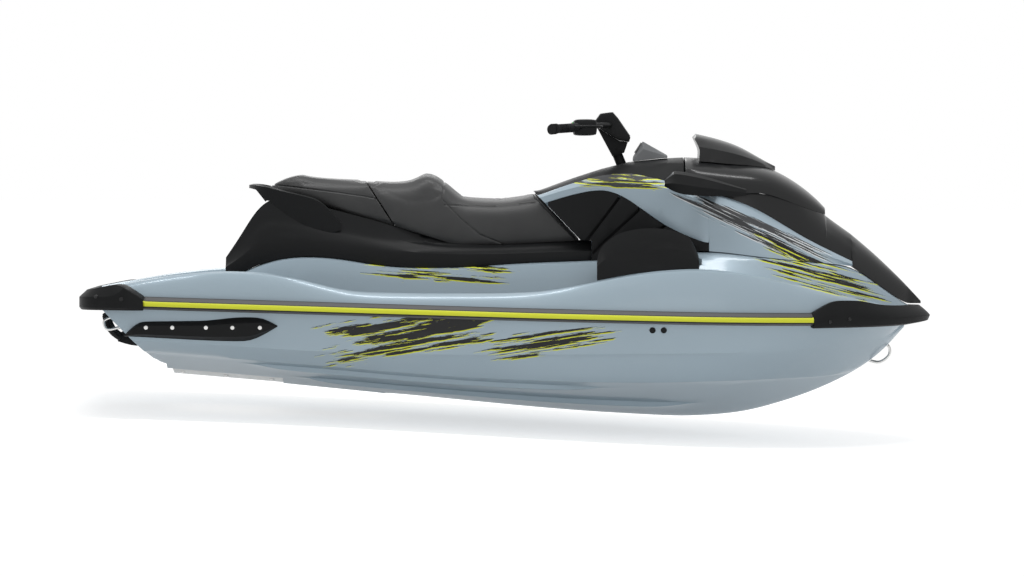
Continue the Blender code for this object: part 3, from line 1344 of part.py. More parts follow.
def make_pump():
    outer = PUMP_BORE + PUMP_WALL
    fore = TUNNEL_FORE_X - SEAT_GAP
    housing = turned("pump_housing", [(fore, PUMP_BORE), (fore, outer + PUMP_FLANGE),
                                      (fore - 0.014, outer + PUMP_FLANGE), (fore - 0.014, outer),
                                      (-1.130, outer),
                                      (VENTURI_X, 0.052), (VENTURI_X, 0.044), (-1.130, PUMP_BORE)], "alloy")
    hub = turned("stator_hub", [(-1.075, 0.0), (-1.075, HUB_R), (-1.150, HUB_R * 0.9), (-1.195, 0.0)],
                 "alloy")
    for i in range(5):
        a = 2 * math.pi * i / 5 + math.pi / 2
        across_way = Vector((0, math.cos(a), math.sin(a)))
        thick = Vector((0, -math.sin(a), math.cos(a))) * 0.002
        base, tip = across_way * (HUB_R - 0.008), across_way * (PUMP_BORE + 0.004)
        centre = Vector((0, 0, PUMP_Z))
        rings = []
        for x in (-1.080, -1.130):
            at = centre + Vector((x, 0, 0))
            rings.append([at + base - thick, at + tip - thick, at + tip + thick, at + base + thick])
        fuse(hub, loft(f"vane_{i}", rings, "alloy"))
    fuse(housing, hub)
    for sign in (-1, 1):
        low, high = sorted((sign * (outer - 0.006), sign * EAR_OUT))
        ear = box("ear", (DRIVE_X - 0.016, low, PUMP_Z - 0.014), (-1.100, high, PUMP_Z + 0.014), "alloy")
        fuse(housing, ear)
    for sign in (-1, 1):
        low, high = sorted((sign * (outer - 0.030), sign * (EAR_IN)))
        room = box("ear_room", (DRIVE_X - 0.030, low, PUMP_Z - 0.030), (-1.150, high, PUMP_Z + 0.030), None,
                   cutter=True)
        cut(housing, room)
    return housing


def make_impeller(hull):
    """Impeller with its shaft, which turns in the hull's bearing."""
    wheel = turned("impeller", [(-1.070, 0.0), (-1.070, HUB_R), (-0.985, HUB_R * 0.92), (-0.955, SHAFT_R),
                                (-0.725, SHAFT_R), (-0.725, 0.0)], "steel")
    tip = PUMP_BORE - 0.005
    for i in range(3):
        start = 2 * math.pi * i / 3 + 0.07
        rings = []
        for k in range(19):
            t = k / 18
            a = start + math.radians(70) * t
            x = mix(-1.058, -0.992, t)
            way = Vector((0, math.cos(a), math.sin(a)))
            at = Vector((x, 0, PUMP_Z))
            inner, outer = at + way * (HUB_R - 0.007), at + way * tip
            rings.append([inner - Vector((0.0025, 0, 0)), outer - Vector((0.002, 0, 0)),
                          outer + Vector((0.002, 0, 0)), inner + Vector((0.0025, 0, 0))])
        fuse(wheel, loft(f"blade_{i}", rings, "steel"), solver="MANIFOLD")
    bore = cylinder("bearing", (-0.98, 0, PUMP_Z), (1, 0, 0), SHAFT_R + SHAFT_GAP, 0.98 - 0.7246, None,
                    cutter=True)
    cut(hull, bore)


def make_nozzle():
    ring = turned("trim_ring",
                  [(DRIVE_X + 0.014, RING_IN), (DRIVE_X + 0.014, RING_OUT), (DRIVE_X - 0.014, RING_OUT),
                                (DRIVE_X - 0.014, RING_IN)], "alloy")
    for sign in (-1, 1):
        pin = cylinder("pin", (DRIVE_X, sign * (RING_IN + 0.004), PUMP_Z), (0, sign, 0), 0.008,
                       EAR_IN - 2 * SEAT_GAP - RING_IN - 0.004, "alloy")
        fuse(ring, pin)
    nozzle = turned("steering_nozzle", [(NOZZLE_FORE_X, NOZZLE_R - NOZZLE_WALL), (NOZZLE_FORE_X, NOZZLE_R),
                                        (DRIVE_X - 0.018, NOZZLE_R),
                                        (NOZZLE_AFT_X, NOZZLE_MOUTH + NOZZLE_WALL),
                                        (NOZZLE_AFT_X, NOZZLE_MOUTH),
                                        (DRIVE_X - 0.018, NOZZLE_R - NOZZLE_WALL)], "alloy")
    for sign in (-1, 1):
        pin = cylinder("pin", (DRIVE_X, 0, PUMP_Z + sign * (NOZZLE_R - 0.003)), (0, 0, sign), 0.008,
                       RING_IN - PIN_GAP - NOZZLE_R + 0.003, "alloy")
        fuse(nozzle, pin)


def make_bucket():
    """Reverse bucket, drawn raised above the nozzle; it turns about the same axis as the trim ring."""
    low, high = math.radians(38), math.radians(118)
    radius_in, radius_out = BUCKET_IN, BUCKET_IN + BUCKET_WALL
    outline = []
    for i in range(9):
        a = mix(low, high, i / 8)
        outline.append((DRIVE_X - radius_out * math.cos(a), PUMP_Z + radius_out * math.sin(a)))
    for i in range(9):
        a = mix(high, low, i / 8)
        outline.append((DRIVE_X - radius_in * math.cos(a), PUMP_Z + radius_in * math.sin(a)))
    half = BUCKET_ARM + BUCKET_WALL
    bucket = prism("reverse_bucket", outline, half, "alloy")
    for sign in (-1, 1):
        reach = BUCKET_IN + BUCKET_WALL / 2
        plate = [(DRIVE_X + 0.012, PUMP_Z - 0.008), (DRIVE_X - 0.010, PUMP_Z - 0.012)]
        plate += [(DRIVE_X - reach * math.cos(a), PUMP_Z + reach * math.sin(a)) for a in (low,
            (low + high) / 2, high)]
        inner, outer = sorted((sign * BUCKET_ARM, sign * half))
        arm = prism("arm", plate, outer, "alloy", start=inner)
        pin = cylinder("pin", (DRIVE_X, sign * (half - 0.002), PUMP_Z), (0, -sign, 0), 0.008,
                       half - 0.002 - EAR_OUT - 2 * SEAT_GAP, "alloy")
        fuse(arm, pin)
        fuse(bucket, arm)


def hang(name, pivot):
    """Moves the origin of a moving piece onto its joint's axis."""
    obj = bpy.data.objects[name]
    obj.data.transform(Matrix.Translation(-Vector(pivot)))
    obj.location = pivot


def hang_moving_pieces():
    for name in ("steering_column", "handlebar", "handlebar_pad", "grip_left", "grip_right", "control_left",
                 "control_right", "throttle_lever", "reverse_lever"):
        hang(name, steer_point(0.0))
    for name in ("hood_upper", "windscreen", "mirror_left", "mirror_right"):
        hang(name, (along(HOOD_HINGE_X), 0, HOOD_HINGE_Z))
    for name in ("trim_ring", "steering_nozzle", "reverse_bucket"):
        hang(name, (DRIVE_X, 0, PUMP_Z))
    hang("impeller", (IMPELLER_X, 0, PUMP_Z))
    hang("glovebox_lid", (along(LID_FORE_X), 0, CONSOLE_TOP_Z(LID_FORE_X)))
    hang("boarding_step", (along(STEP_PIVOT[0]), across(sum(STEP_Y) / 2), STEP_PIVOT[1]))


def build():
    start_scene()
    hull, plate = make_hull()
    make_grate(hull)
    deck = make_deck()
    make_rails()
    make_bumpers()
    base = make_seat_base()
    make_seats()
    make_cowl()
    make_knee_panels()
    make_console()
    make_lid()
    make_gauge_hood()
    hood = make_hoods()
    make_windscreen(hood)
    make_mirrors(hood)
    make_handlebar()
    make_mats()
    make_pods(deck)
    make_sponsons()
    make_grab_handle(base)
    make_fittings(hull)
    make_display()
    make_engine()
    make_pump()
    make_impeller(hull)
    make_nozzle()
    make_bucket()
    hang_moving_pieces()


build()
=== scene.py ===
"""Personal watercraft: finishes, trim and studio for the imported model."""

import json
import math

import bmesh
import bpy
from mathutils import Matrix, Vector
from mathutils.bvhtree import BVHTree


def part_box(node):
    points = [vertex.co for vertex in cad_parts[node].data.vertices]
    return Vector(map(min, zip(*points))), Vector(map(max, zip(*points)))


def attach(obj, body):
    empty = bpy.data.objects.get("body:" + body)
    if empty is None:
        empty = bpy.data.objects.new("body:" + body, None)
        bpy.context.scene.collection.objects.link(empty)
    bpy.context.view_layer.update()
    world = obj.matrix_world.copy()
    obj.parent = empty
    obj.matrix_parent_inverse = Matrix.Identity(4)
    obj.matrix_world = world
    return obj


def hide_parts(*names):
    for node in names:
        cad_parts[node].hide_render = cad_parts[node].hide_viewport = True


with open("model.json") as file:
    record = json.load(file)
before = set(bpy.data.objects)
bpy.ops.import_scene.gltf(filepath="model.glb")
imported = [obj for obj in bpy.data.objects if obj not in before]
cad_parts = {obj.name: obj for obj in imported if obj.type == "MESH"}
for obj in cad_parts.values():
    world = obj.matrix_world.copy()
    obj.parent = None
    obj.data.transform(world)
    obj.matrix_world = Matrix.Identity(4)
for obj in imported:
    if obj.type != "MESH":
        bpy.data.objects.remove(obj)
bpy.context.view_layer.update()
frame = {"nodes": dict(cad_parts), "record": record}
nodes = frame["nodes"]

BODIES = frame["record"]["behaviour"]["bodies"]
BODY_OF = {name: body for body, names in BODIES.items() for name in names}
SLOT_OF = {part["node"]: part["material_slot"] for part in frame["record"]["subparts"]}

# Level of the bond between deck and hull, that the rub rails follow: place along, height
BOND_LINE = [(-1.63, 0.198), (-1.58, 0.193), (-1.40, 0.186), (-1.00, 0.174), (-0.40, 0.156),
             (0.10, 0.141), (0.50, 0.131), (0.80, 0.124), (1.00, 0.121), (1.20, 0.119), (1.37, 0.120)]

# Colours, linear
SILVER_BLUE = (0.325, 0.410, 0.470)
BLACK = (0.005, 0.005, 0.0055)
CHARCOAL = (0.0105, 0.011, 0.0115)
ACID_YELLOW = (0.72, 0.76, 0.045)

# Finish of the pieces
SMOOTH_ANGLE = 40.0      # faces that meet at less are shaded as one
CREASE_ANGLE = 34.0      # edges that turn more stay sharp
ABEAM = 2.0              # distance out to the side from which rays start

# Rub rail, heights over the bond
INSERT_HALF = 0.0095
LIP_LOW, LIP_HIGH = -0.0150, 0.0125
TOP_LIP = 0.0255
GROOVE_LEVEL, GROOVE_HALF = 0.0110, 0.0012

# Seat covers
SEATS = {"seat_front", "seat_rear"}
CHANNEL_HALF = 0.0040    # half the width of a sewn channel
CHANNEL_DEPTH = 0.0034
SWELL_MOST = 0.0045      # how far the padding may rise
HELD_NEAR = 0.022        # distance from a neighbour within which the cover is held
HELD_SEAM = 0.006
CLOTH_FRAMES = 20

# Welt at the front of the front seat: top and foot (along, height), and radius
WELT_TOP, WELT_FOOT = (0.128, 0.592), (0.287, 0.412)
WELT_R = 0.0045
WELT_STEPS = 15

# Tread
TREAD_LEAN = 24.0
TREAD_PITCH = 0.020
TREAD_START, TREAD_END = -0.84, 0.60

# Studio
FLOOR_LEVEL = -0.300
FLOOR_FALL = 0.060
FLOOR_RUN_X, FLOOR_RUN_Y = 1.6, 1.2
FLOOR_HALF = 120.0
FLOOR_GLOW = 0.56        # with the light it gets, the floor comes out white
SKY_LIGHT = 0.60         # strength of the surroundings as a light; seen directly they are 1
CAMERA_DISTANCE = 30.0
CAMERA_TARGET = (0.018, 0.0, 0.238)
VIEW_WIDTH = 4.06
SENSOR = 36.0


# Shader wiring
class Wires:
    """Adds and joins nodes in one material or node group."""

    def __init__(self, tree):
        self.tree = tree

    def node(self, kind, **settings):
        made = self.tree.nodes.new(kind)
        for key, value in settings.items():
            setattr(made, key, value)
        return made

    def put(self, socket, value):
        if isinstance(value, bpy.types.NodeSocket):
            self.tree.links.new(value, socket)
        elif isinstance(value, (tuple, list)) and len(value) == 3 and socket.type == "RGBA":
            socket.default_value = (*value, 1.0)
        else:
            socket.default_value = value

    def maths(self, operation, a, b=0.0, c=0.0, clamp=False):
        made = self.node("ShaderNodeMath", operation=operation, use_clamp=clamp)
        for socket, value in zip(made.inputs, (a, b, c)):
            self.put(socket, value)
        return made.outputs[0]

    def step(self, value, low, high, floor=0.0, ceiling=1.0):
        """Runs smoothly from floor to ceiling as value goes from low to high."""
        made = self.node("ShaderNodeMapRange", interpolation_type="SMOOTHSTEP")
        for socket, entry in zip(made.inputs, (value, low, high, floor, ceiling)):
            self.put(socket, entry)
        return made.outputs[0]

    def within(self, value, low, high):
        """1 where value lies between low and high, and 0 elsewhere."""
        above, below = self.maths("GREATER_THAN", value, low), self.maths("LESS_THAN", value, high)
        return self.maths("MULTIPLY", above, below)

    def either(self, *values):
        """The largest of the values."""
        largest = values[0]
        for value in values[1:]:
            largest = self.maths("MAXIMUM", largest, value)
        return largest

    def stretched(self, x, y, z, by):
        """A place scaled by a factor along each axis."""
        return self.join(*(self.maths("MULTIPLY", part, factor) for part, factor in zip((x, y, z), by)))

    def blend(self, share, a, b):
        made = self.node("ShaderNodeMix", data_type="RGBA")
        self.put(made.inputs["Factor"], share)
        self.put(made.inputs[6], a)
        self.put(made.inputs[7], b)
        return made.outputs[2]

    def noise(self, vector, scale, detail=2.0, roughness=0.5):
        made = self.node("ShaderNodeTexNoise")
        self.put(made.inputs["Vector"], vector)
        self.put(made.inputs["Scale"], scale)
        self.put(made.inputs["Detail"], detail)
        self.put(made.inputs["Roughness"], roughness)
        return made.outputs["Fac"]

    def bump(self, height, distance, strength=1.0, normal=None):
        made = self.node("ShaderNodeBump")
        self.put(made.inputs["Strength"], strength)
        self.put(made.inputs["Distance"], distance)
        self.put(made.inputs["Height"], height)
        if normal is not None:
            self.put(made.inputs["Normal"], normal)
        return made.outputs["Normal"]

    def place(self):
        return self.node("ShaderNodeTexCoord").outputs["Object"]

    def split(self, vector):
        made = self.node("ShaderNodeSeparateXYZ")
        self.put(made.inputs[0], vector)
        return made.outputs[0], made.outputs[1], made.outputs[2]

    def join(self, x, y, z):
        made = self.node("ShaderNodeCombineXYZ")
        for socket, value in zip(made.inputs, (x, y, z)):
            self.put(socket, value)
        return made.outputs[0]

    def group(self, tree, **values):
        made = self.node("ShaderNodeGroup", node_tree=tree)
        for key, value in values.items():
            self.put(made.inputs[key.replace("_", " ")], value)
        return made


def effect(name, inputs, outputs):
    """An empty shader node group, with inputs (name, kind, default) and outputs (name, kind)."""
    tree = bpy.data.node_groups.new(name, "ShaderNodeTree")
    for label, kind, value in inputs:
        socket = tree.interface.new_socket(label, in_out="INPUT", socket_type=kind)
        if value is not None:
            socket.default_value = value
    for label, kind in outputs:
        tree.interface.new_socket(label, in_out="OUTPUT", socket_type=kind)
    wires = Wires(tree)
    start = wires.node("NodeGroupInput")
    end = wires.node("NodeGroupOutput")
    return tree, wires, start.outputs, end.inputs


FLOAT, VECTOR = "NodeSocketFloat", "NodeSocketVector"


def make_moulded_grain():
    """Fine leathery grain of moulded plastic: a height and a roughness change."""
    tree, w, given, out = effect(
        "moulded grain", [("Place", VECTOR, None), ("Scale", FLOAT, 900.0)],
        [("Height", FLOAT), ("Patches", FLOAT)])
    cells = w.node("ShaderNodeTexVoronoi", feature="SMOOTH_F1")
    w.put(cells.inputs["Vector"], given["Place"])
    w.put(cells.inputs["Scale"], given["Scale"])
    w.put(cells.inputs["Smoothness"], 0.6)
    fine = w.noise(given["Place"], w.maths("MULTIPLY", given["Scale"], 1.7), 3.0)
    w.put(out["Height"], w.maths("ADD", w.maths("MULTIPLY", cells.outputs["Distance"], 0.7),
                                 w.maths("MULTIPLY", fine, 0.3)))
    w.put(out["Patches"], w.noise(given["Place"], 7.0, 3.0))
    return tree


def make_handling_marks():
    """Faint wipes and dust of a used surface: a mask from 0 to 1."""
    tree, w, given, out = effect(
        "handling marks", [("Place", VECTOR, None), ("Amount", FLOAT, 0.5)], [("Mask", FLOAT)])
    wiped = w.noise(w.stretched(*w.split(given["Place"]), by=(6.0, 22.0, 22.0)), 1.0, 4.0, 0.6)
    cloud = w.noise(given["Place"], 2.4, 4.0, 0.6)
    total = w.maths("MULTIPLY", w.step(wiped, 0.45, 0.75), w.step(cloud, 0.4, 0.7))
    w.put(out["Mask"], w.maths("MULTIPLY", total, given["Amount"], clamp=True))
    return tree


def make_brush_streaks():
    """Dry-brushed streaks along a slanted band: masks for the dark paint and for the bright paint
    below it. They are dense in the middle of the band and break up towards its ends and edges."""
    defaults = {"Along": 0.0, "Up": 0.0, "Start": 0.0, "End": 1.0, "Low": 0.0, "High": 0.1,
                "Fine": 60.0, "Slope": 0.2, "Cover": 0.5, "Seed": 0.0}
    tree, w, given, out = effect(
        "brush streaks", [(label, FLOAT, value) for label, value in defaults.items()],
        [("Dark", FLOAT), ("Bright", FLOAT)])
    level = w.maths("SUBTRACT", given["Up"], w.maths("MULTIPLY", given["Along"], given["Slope"]))
    share_along = w.maths("DIVIDE", w.maths("SUBTRACT", given["Along"], given["Start"]),
                          w.maths("SUBTRACT", given["End"], given["Start"]))
    ends = w.maths("ABSOLUTE", w.maths("SUBTRACT", w.maths("MULTIPLY", share_along, 2.0), 1.0))

    def streaks(shift):
        height = w.maths("ADD", level, shift)
        share_up = w.maths("DIVIDE", w.maths("SUBTRACT", height, given["Low"]),
                           w.maths("SUBTRACT", given["High"], given["Low"]))
        edges = w.maths("ABSOLUTE", w.maths("SUBTRACT", w.maths("MULTIPLY", share_up, 2.0), 1.0))
        inside = w.maths("MULTIPLY", w.within(share_along, 0.0, 1.0), w.within(share_up, 0.0, 1.0))
        fine, coarse = given["Fine"], w.maths("MULTIPLY", given["Fine"], 0.30)
        stroke = w.noise(w.join(w.maths("MULTIPLY", given["Along"], 4.2), w.maths("MULTIPLY", height, fine),
                                given["Seed"]), 1.0, 5.0, 0.66)
        broad = w.noise(w.join(w.maths("MULTIPLY", given["Along"], 2.0), w.maths("MULTIPLY", height, coarse),
                               given["Seed"]), 1.0, 2.0)
        drop = w.maths("ADD", w.maths("MULTIPLY", w.maths("POWER", ends, 3.0), 0.20),
                       w.maths("MULTIPLY", w.maths("POWER", edges, 5.0), 0.16))
        total = w.maths("ADD", w.maths("MULTIPLY", stroke, 0.62), w.maths("MULTIPLY", broad, 0.38))
        left = w.maths("SUBTRACT", total, drop)
        shown = w.maths("GREATER_THAN", w.maths("ADD", left, given["Cover"]), 1.0)
        return w.maths("MULTIPLY", inside, shown)

    black = streaks(0.0)
    w.put(out["Dark"], black)
    w.put(out["Bright"], w.maths("MULTIPLY", streaks(0.0042), w.maths("SUBTRACT", 1.0, black)))
    return tree


GRAIN = make_moulded_grain()
MARKS = make_handling_marks()
STREAKS = make_brush_streaks()


def blank(name):
    made = bpy.data.materials.new(name)
    made.use_nodes = True
    wires = Wires(made.node_tree)
    return made, wires, made.node_tree.nodes["Principled BSDF"].inputs


def gelcoat(name, bands):
    """Metallic gelcoat under a clear coat, with bands of brushed streaks laid on it."""
    made, w, shader = blank(name)
    place = w.place()
    x, y, z = w.split(place)
    shade = w.noise(place, 1.6, 2.0)
    flake = w.noise(place, 2600.0, 1.0)
    colour = w.blend(w.step(shade, 0.3, 0.7), SILVER_BLUE, tuple(c * 1.05 for c in SILVER_BLUE))
    colour = w.blend(w.step(flake, 0.62, 0.80, 0.0, 0.35), colour, (0.62, 0.68, 0.72))
    paint = 0.0
    for band in bands:
        lines = w.group(STREAKS, Along=x, Up=z, **band["sizes"])
        low, high = band.get("across", (0.0, 2.0))
        gate = w.within(w.maths("ABSOLUTE", y), low, high)
        dark = w.maths("MULTIPLY", lines.outputs["Dark"], gate)
        bright = w.maths("MULTIPLY", lines.outputs["Bright"], gate)
        colour = w.blend(dark, colour, band.get("dark", BLACK))
        colour = w.blend(bright, colour, band.get("bright", ACID_YELLOW))
        paint = w.maths("MAXIMUM", paint, w.maths("ADD", dark, bright))
    marks = w.group(MARKS, Place=place, Amount=0.6).outputs["Mask"]
    w.put(shader["Base Color"], w.blend(w.maths("MULTIPLY", marks, 0.12), colour, (0.55, 0.58, 0.60)))
    bare = w.maths("SUBTRACT", 1.0, paint)
    w.put(shader["Metallic"], w.maths("MULTIPLY", bare, 0.18))
    w.put(shader["Roughness"], w.maths("ADD", 0.36, w.maths("MULTIPLY", marks, 0.15)))
    w.put(shader["Specular IOR Level"], 0.25)
    w.put(shader["Coat Weight"], w.maths("ADD", 0.08, w.maths("MULTIPLY", bare, 0.30)))
    w.put(shader["Coat Roughness"], 0.07)
    w.put(shader["Normal"], w.bump(w.noise(place, 55.0, 2.0), 0.0006, 0.10))
    return made


def moulded(name, colour, roughness, scale=700.0, depth=0.0002, coat=0.0, mark=0.5, shine=0.10):
    """Moulded plastic or rubber with a fine grain and pale handling marks."""
    made, w, shader = blank(name)
    place = w.place()
    grain = w.group(GRAIN, Place=place, Scale=scale)
    marks = w.group(MARKS, Place=place, Amount=mark).outputs["Mask"]
    pale = tuple(min(1.0, c * 1.9 + 0.012) for c in colour)
    tone = w.blend(grain.outputs["Patches"], tuple(c * 0.88 for c in colour),
                   tuple(c * 1.12 for c in colour))
    w.put(shader["Base Color"], w.blend(w.maths("MULTIPLY", marks, 0.35), tone, pale))
    rough = w.maths("ADD", roughness - 0.05, w.maths("MULTIPLY", grain.outputs["Patches"], 0.10))
    w.put(shader["Roughness"], w.maths("ADD", rough, w.maths("MULTIPLY", marks, 0.12)))
    w.put(shader["Specular IOR Level"], shine)
    w.put(shader["Coat Weight"], coat)
    w.put(shader["Coat Roughness"], 0.18)
    w.put(shader["Normal"], w.bump(grain.outputs["Height"], depth, 0.6))
    return made


def metal(name, colour, roughness, brushed=0.0, cast=0.0):
    """Bare metal, brushed along the craft or cast, with slightly worn patches."""
    made, w, shader = blank(name)
    place = w.place()
    worn = w.noise(place, 24.0, 4.0, 0.6)
    strokes = w.noise(w.stretched(*w.split(place), by=(30.0, 900.0, 900.0)), 1.0, 2.0)
    pits = w.noise(place, 650.0, 3.0, 0.6)
    w.put(shader["Base Color"], w.blend(w.step(worn, 0.35, 0.7), tuple(c * 0.86 for c in colour), colour))
    w.put(shader["Metallic"], 1.0)
    w.put(shader["Roughness"], w.maths("ADD", roughness - 0.06, w.maths("MULTIPLY", worn, 0.14)))
    height = w.maths("ADD", w.maths("MULTIPLY", strokes, brushed), w.maths("MULTIPLY", pits, cast))
    w.put(shader["Normal"], w.bump(height, 0.0003, 0.5))
    return made


def rail_finish():
    """Grey extrusion with a yellow insert between dark lips; the map's V is the height over the bond."""
    made, w, shader = blank("rub_rail_grey_yellow")
    level = w.split(w.node("ShaderNodeUVMap", uv_map="run").outputs[0])[1]
    insert = w.within(level, -INSERT_HALF, INSERT_HALF)
    lips = w.within(level, LIP_LOW, LIP_HIGH)
    top_lip = w.maths("GREATER_THAN", level, TOP_LIP)
    grain = w.group(GRAIN, Place=w.place(), Scale=800.0)
    grey = w.blend(grain.outputs["Patches"], (0.075, 0.076, 0.078), (0.100, 0.101, 0.104))
    colour = w.blend(lips, grey, BLACK)
    colour = w.blend(top_lip, colour, (0.020, 0.021, 0.022))
    w.put(shader["Base Color"], w.blend(insert, colour, ACID_YELLOW))
    w.put(shader["Roughness"], w.maths("ADD", 0.42, w.maths("MULTIPLY", grain.outputs["Patches"], 0.12)))
    w.put(shader["Specular IOR Level"], 0.3)
    edge = w.maths("ABSOLUTE", w.maths("SUBTRACT", w.maths("ABSOLUTE", level), GROOVE_LEVEL))
    groove = w.maths("LESS_THAN", edge, GROOVE_HALF)
    height = w.maths("SUBTRACT", w.maths("MULTIPLY", grain.outputs["Height"], 0.1), groove)
    w.put(shader["Normal"], w.bump(height, 0.0006, 0.7))
    return made


def tread_mat():
    """Foam deck mat with brushed grain."""
    made, w, shader = blank("deck_mat")
    place = w.place()
    grain = w.group(GRAIN, Place=place, Scale=420.0)
    marks = w.group(MARKS, Place=place, Amount=0.6).outputs["Mask"]
    tone = w.blend(grain.outputs["Patches"], (0.030, 0.031, 0.033), (0.046, 0.047, 0.049))
    w.put(shader["Base Color"], w.blend(w.maths("MULTIPLY", marks, 0.4), tone, (0.09, 0.09, 0.09)))
    w.put(shader["Roughness"], w.maths("ADD", 0.78, w.maths("MULTIPLY", grain.outputs["Patches"], 0.1)))
    w.put(shader["Specular IOR Level"], 0.25)
    w.put(shader["Normal"], w.bump(grain.outputs["Height"], 0.0006, 0.8))
    return made


def seat_vinyl():
    """Marine vinyl: pebbled grain, a slight sheen and paler rubbed patches."""
    made, w, shader = blank("seat_vinyl")
    place = w.place()
    grain = w.group(GRAIN, Place=place, Scale=520.0)
    marks = w.group(MARKS, Place=place, Amount=0.7).outputs["Mask"]
    soft = w.noise(place, 5.0, 3.0)
    tone = w.blend(w.step(soft, 0.35, 0.68), (0.016, 0.0165, 0.017), (0.024, 0.0245, 0.025))
    w.put(shader["Base Color"], w.blend(w.maths("MULTIPLY", marks, 0.30), tone, (0.075, 0.075, 0.075)))
    w.put(shader["Roughness"], w.maths("ADD", 0.40, w.maths("MULTIPLY", grain.outputs["Patches"], 0.14)))
    w.put(shader["Specular IOR Level"], 0.45)
    w.put(shader["Sheen Weight"], 0.06)
    w.put(shader["Sheen Roughness"], 0.5)
    folds = w.bump(w.noise(place, 14.0, 2.0), 0.004, 0.10)
    w.put(shader["Normal"], w.bump(grain.outputs["Height"], 0.0004, 0.7, folds))
    return made


def dark_glass():
    """Smeared dark glass of the display."""
    made, w, shader = blank("display_glass")
    place = w.place()
    smear = w.step(w.noise(place, 30.0), 0.3, 0.7)
    w.put(shader["Base Color"], w.blend(smear, (0.010, 0.011, 0.013), (0.016, 0.018, 0.020)))
    w.put(shader["Roughness"], w.maths("ADD", 0.05, w.maths("MULTIPLY", w.noise(place, 90.0), 0.05)))
    w.put(shader["Coat Weight"], 1.0)
    w.put(shader["Coat Roughness"], 0.03)
    return made


def band(start, end, low, high, fine, slope, cover, seed, **paint):
    """One band of streaks: its run along the craft, its level, and how it is brushed."""
    sizes = {"Start": start, "End": end, "Low": low, "High": high, "Fine": fine, "Slope": slope,
             "Cover": cover, "Seed": seed}
    return {"sizes": sizes, **paint}


HULL_BANDS = [
    band(-0.86, 0.04, 0.040, 0.235, 78.0, 0.17, 0.535, 3.0),
    band(-0.34, 0.56, -0.045, 0.075, 95.0, 0.15, 0.49, 21.0),
]
DECK_BANDS = [
    band(-0.66, 0.10, 0.235, 0.345, 90.0, -0.07, 0.52, 40.0, across=(0.24, 0.70)),
    band(0.90, 1.58, 0.560, 0.690, 130.0, -0.27, 0.50, 71.0),
]
COWL_BANDS = [
    band(0.14, 0.76, 0.655, 0.740, 90.0, -0.06, 0.52, 12.0, dark=(0.045, 0.047, 0.050)),
    band(0.62, 1.34, 0.880, 0.985, 130.0, -0.47, 0.54, 31.0, dark=(0.040, 0.042, 0.045),
         bright=(0.72, 0.75, 0.76)),
    band(0.92, 1.38, 0.850, 0.905, 80.0, -0.45, 0.52, 57.0),
]

FINISHES = {
    "gelcoat_hull": gelcoat("gelcoat_hull", HULL_BANDS),
    "gelcoat_deck": gelcoat("gelcoat_deck", DECK_BANDS),
    "gelcoat_cowl": gelcoat("gelcoat_cowl", COWL_BANDS),
    "black_plastic": moulded("moulded_black", CHARCOAL, 0.46),
    "base_plastic": moulded("moulded_black_base", (0.0085, 0.009, 0.0095), 0.40, shine=0.12),
    "gauge_plastic": moulded("moulded_grey", (0.14, 0.145, 0.15), 0.48),
    "gloss_black": moulded("satin_black", (0.009, 0.0095, 0.010), 0.34, scale=1500.0, depth=0.00005,
                           coat=0.40, mark=0.3),
    "rubber": moulded("grip_rubber", (0.016, 0.016, 0.017), 0.66, scale=1000.0, depth=0.0003),
    "vinyl": seat_vinyl(),
    "powder_coat": moulded("powder_coat", (0.013, 0.0135, 0.014), 0.38, scale=1800.0, depth=0.0001),
    "mat": tread_mat(),
    "rail_grey": rail_finish(),
    "alloy": metal("cast_alloy", (0.56, 0.57, 0.57), 0.42, cast=0.8),
    "steel": metal("polished_steel", (0.63, 0.63, 0.62), 0.20, brushed=0.5),
    "glass": dark_glass(),
    "mirror": metal("mirror_silver", (0.80, 0.82, 0.83), 0.08),
    "red_button": moulded("red_button", (0.45, 0.022, 0.016), 0.40, mark=0.2),
    "green_button": moulded("green_button", (0.05, 0.26, 0.07), 0.40, mark=0.2),
    "engine": metal("engine_iron", (0.12, 0.12, 0.13), 0.55, cast=1.0),
}
OWN_FINISH = {"hull": "gelcoat_hull", "deck": "gelcoat_deck", "cowl": "gelcoat_cowl",
              "seat_base": "base_plastic", "gauge_hood": "gauge_plastic", "boarding_step": "powder_coat"}


def finish_of(node):
    return FINISHES[OWN_FINISH.get(node, SLOT_OF[node])]


# Pieces
def add_piece(name, bm, material, node):
    """Makes an object from bm that rides on the node's body."""
    mesh = bpy.data.meshes.new(name)
    bm.to_mesh(mesh)
    bm.free()
    mesh.materials.append(material)
    mesh.shade_smooth()
    mesh.set_sharp_from_angle(angle=math.radians(SMOOTH_ANGLE))
    piece = bpy.data.objects.new(name, mesh)
    bpy.context.scene.collection.objects.link(piece)
    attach(piece, BODY_OF[node])
    return piece


def merged(node):
    """The node's solid with its loose triangles joined up again into clean faces."""
    bm = bmesh.new()
    bm.from_mesh(nodes[node].data)
    bmesh.ops.remove_doubles(bm, verts=bm.verts, dist=0.00004)
    bmesh.ops.join_triangles(bm, faces=bm.faces, angle_face_threshold=math.radians(25),
                             angle_shape_threshold=math.radians(60))
    return bm


def hold_edges(bm, crease):
    """Marks the edges that stay sharp when the mesh is subdivided."""
    held = bm.edges.layers.float.new("crease_edge")
    for edge in bm.edges:
        if len(edge.link_faces) != 2 or edge.calc_face_angle(0.0) > math.radians(crease):
            edge[held] = 1.0


def bond_level(x):
    """The level of the bond at a place along the craft."""
    for (x0, z0), (x1, z1) in zip(BOND_LINE, BOND_LINE[1:]):
        if x <= x1:
            break
    return z0 + (z1 - z0) * (x - x0) / (x1 - x0)


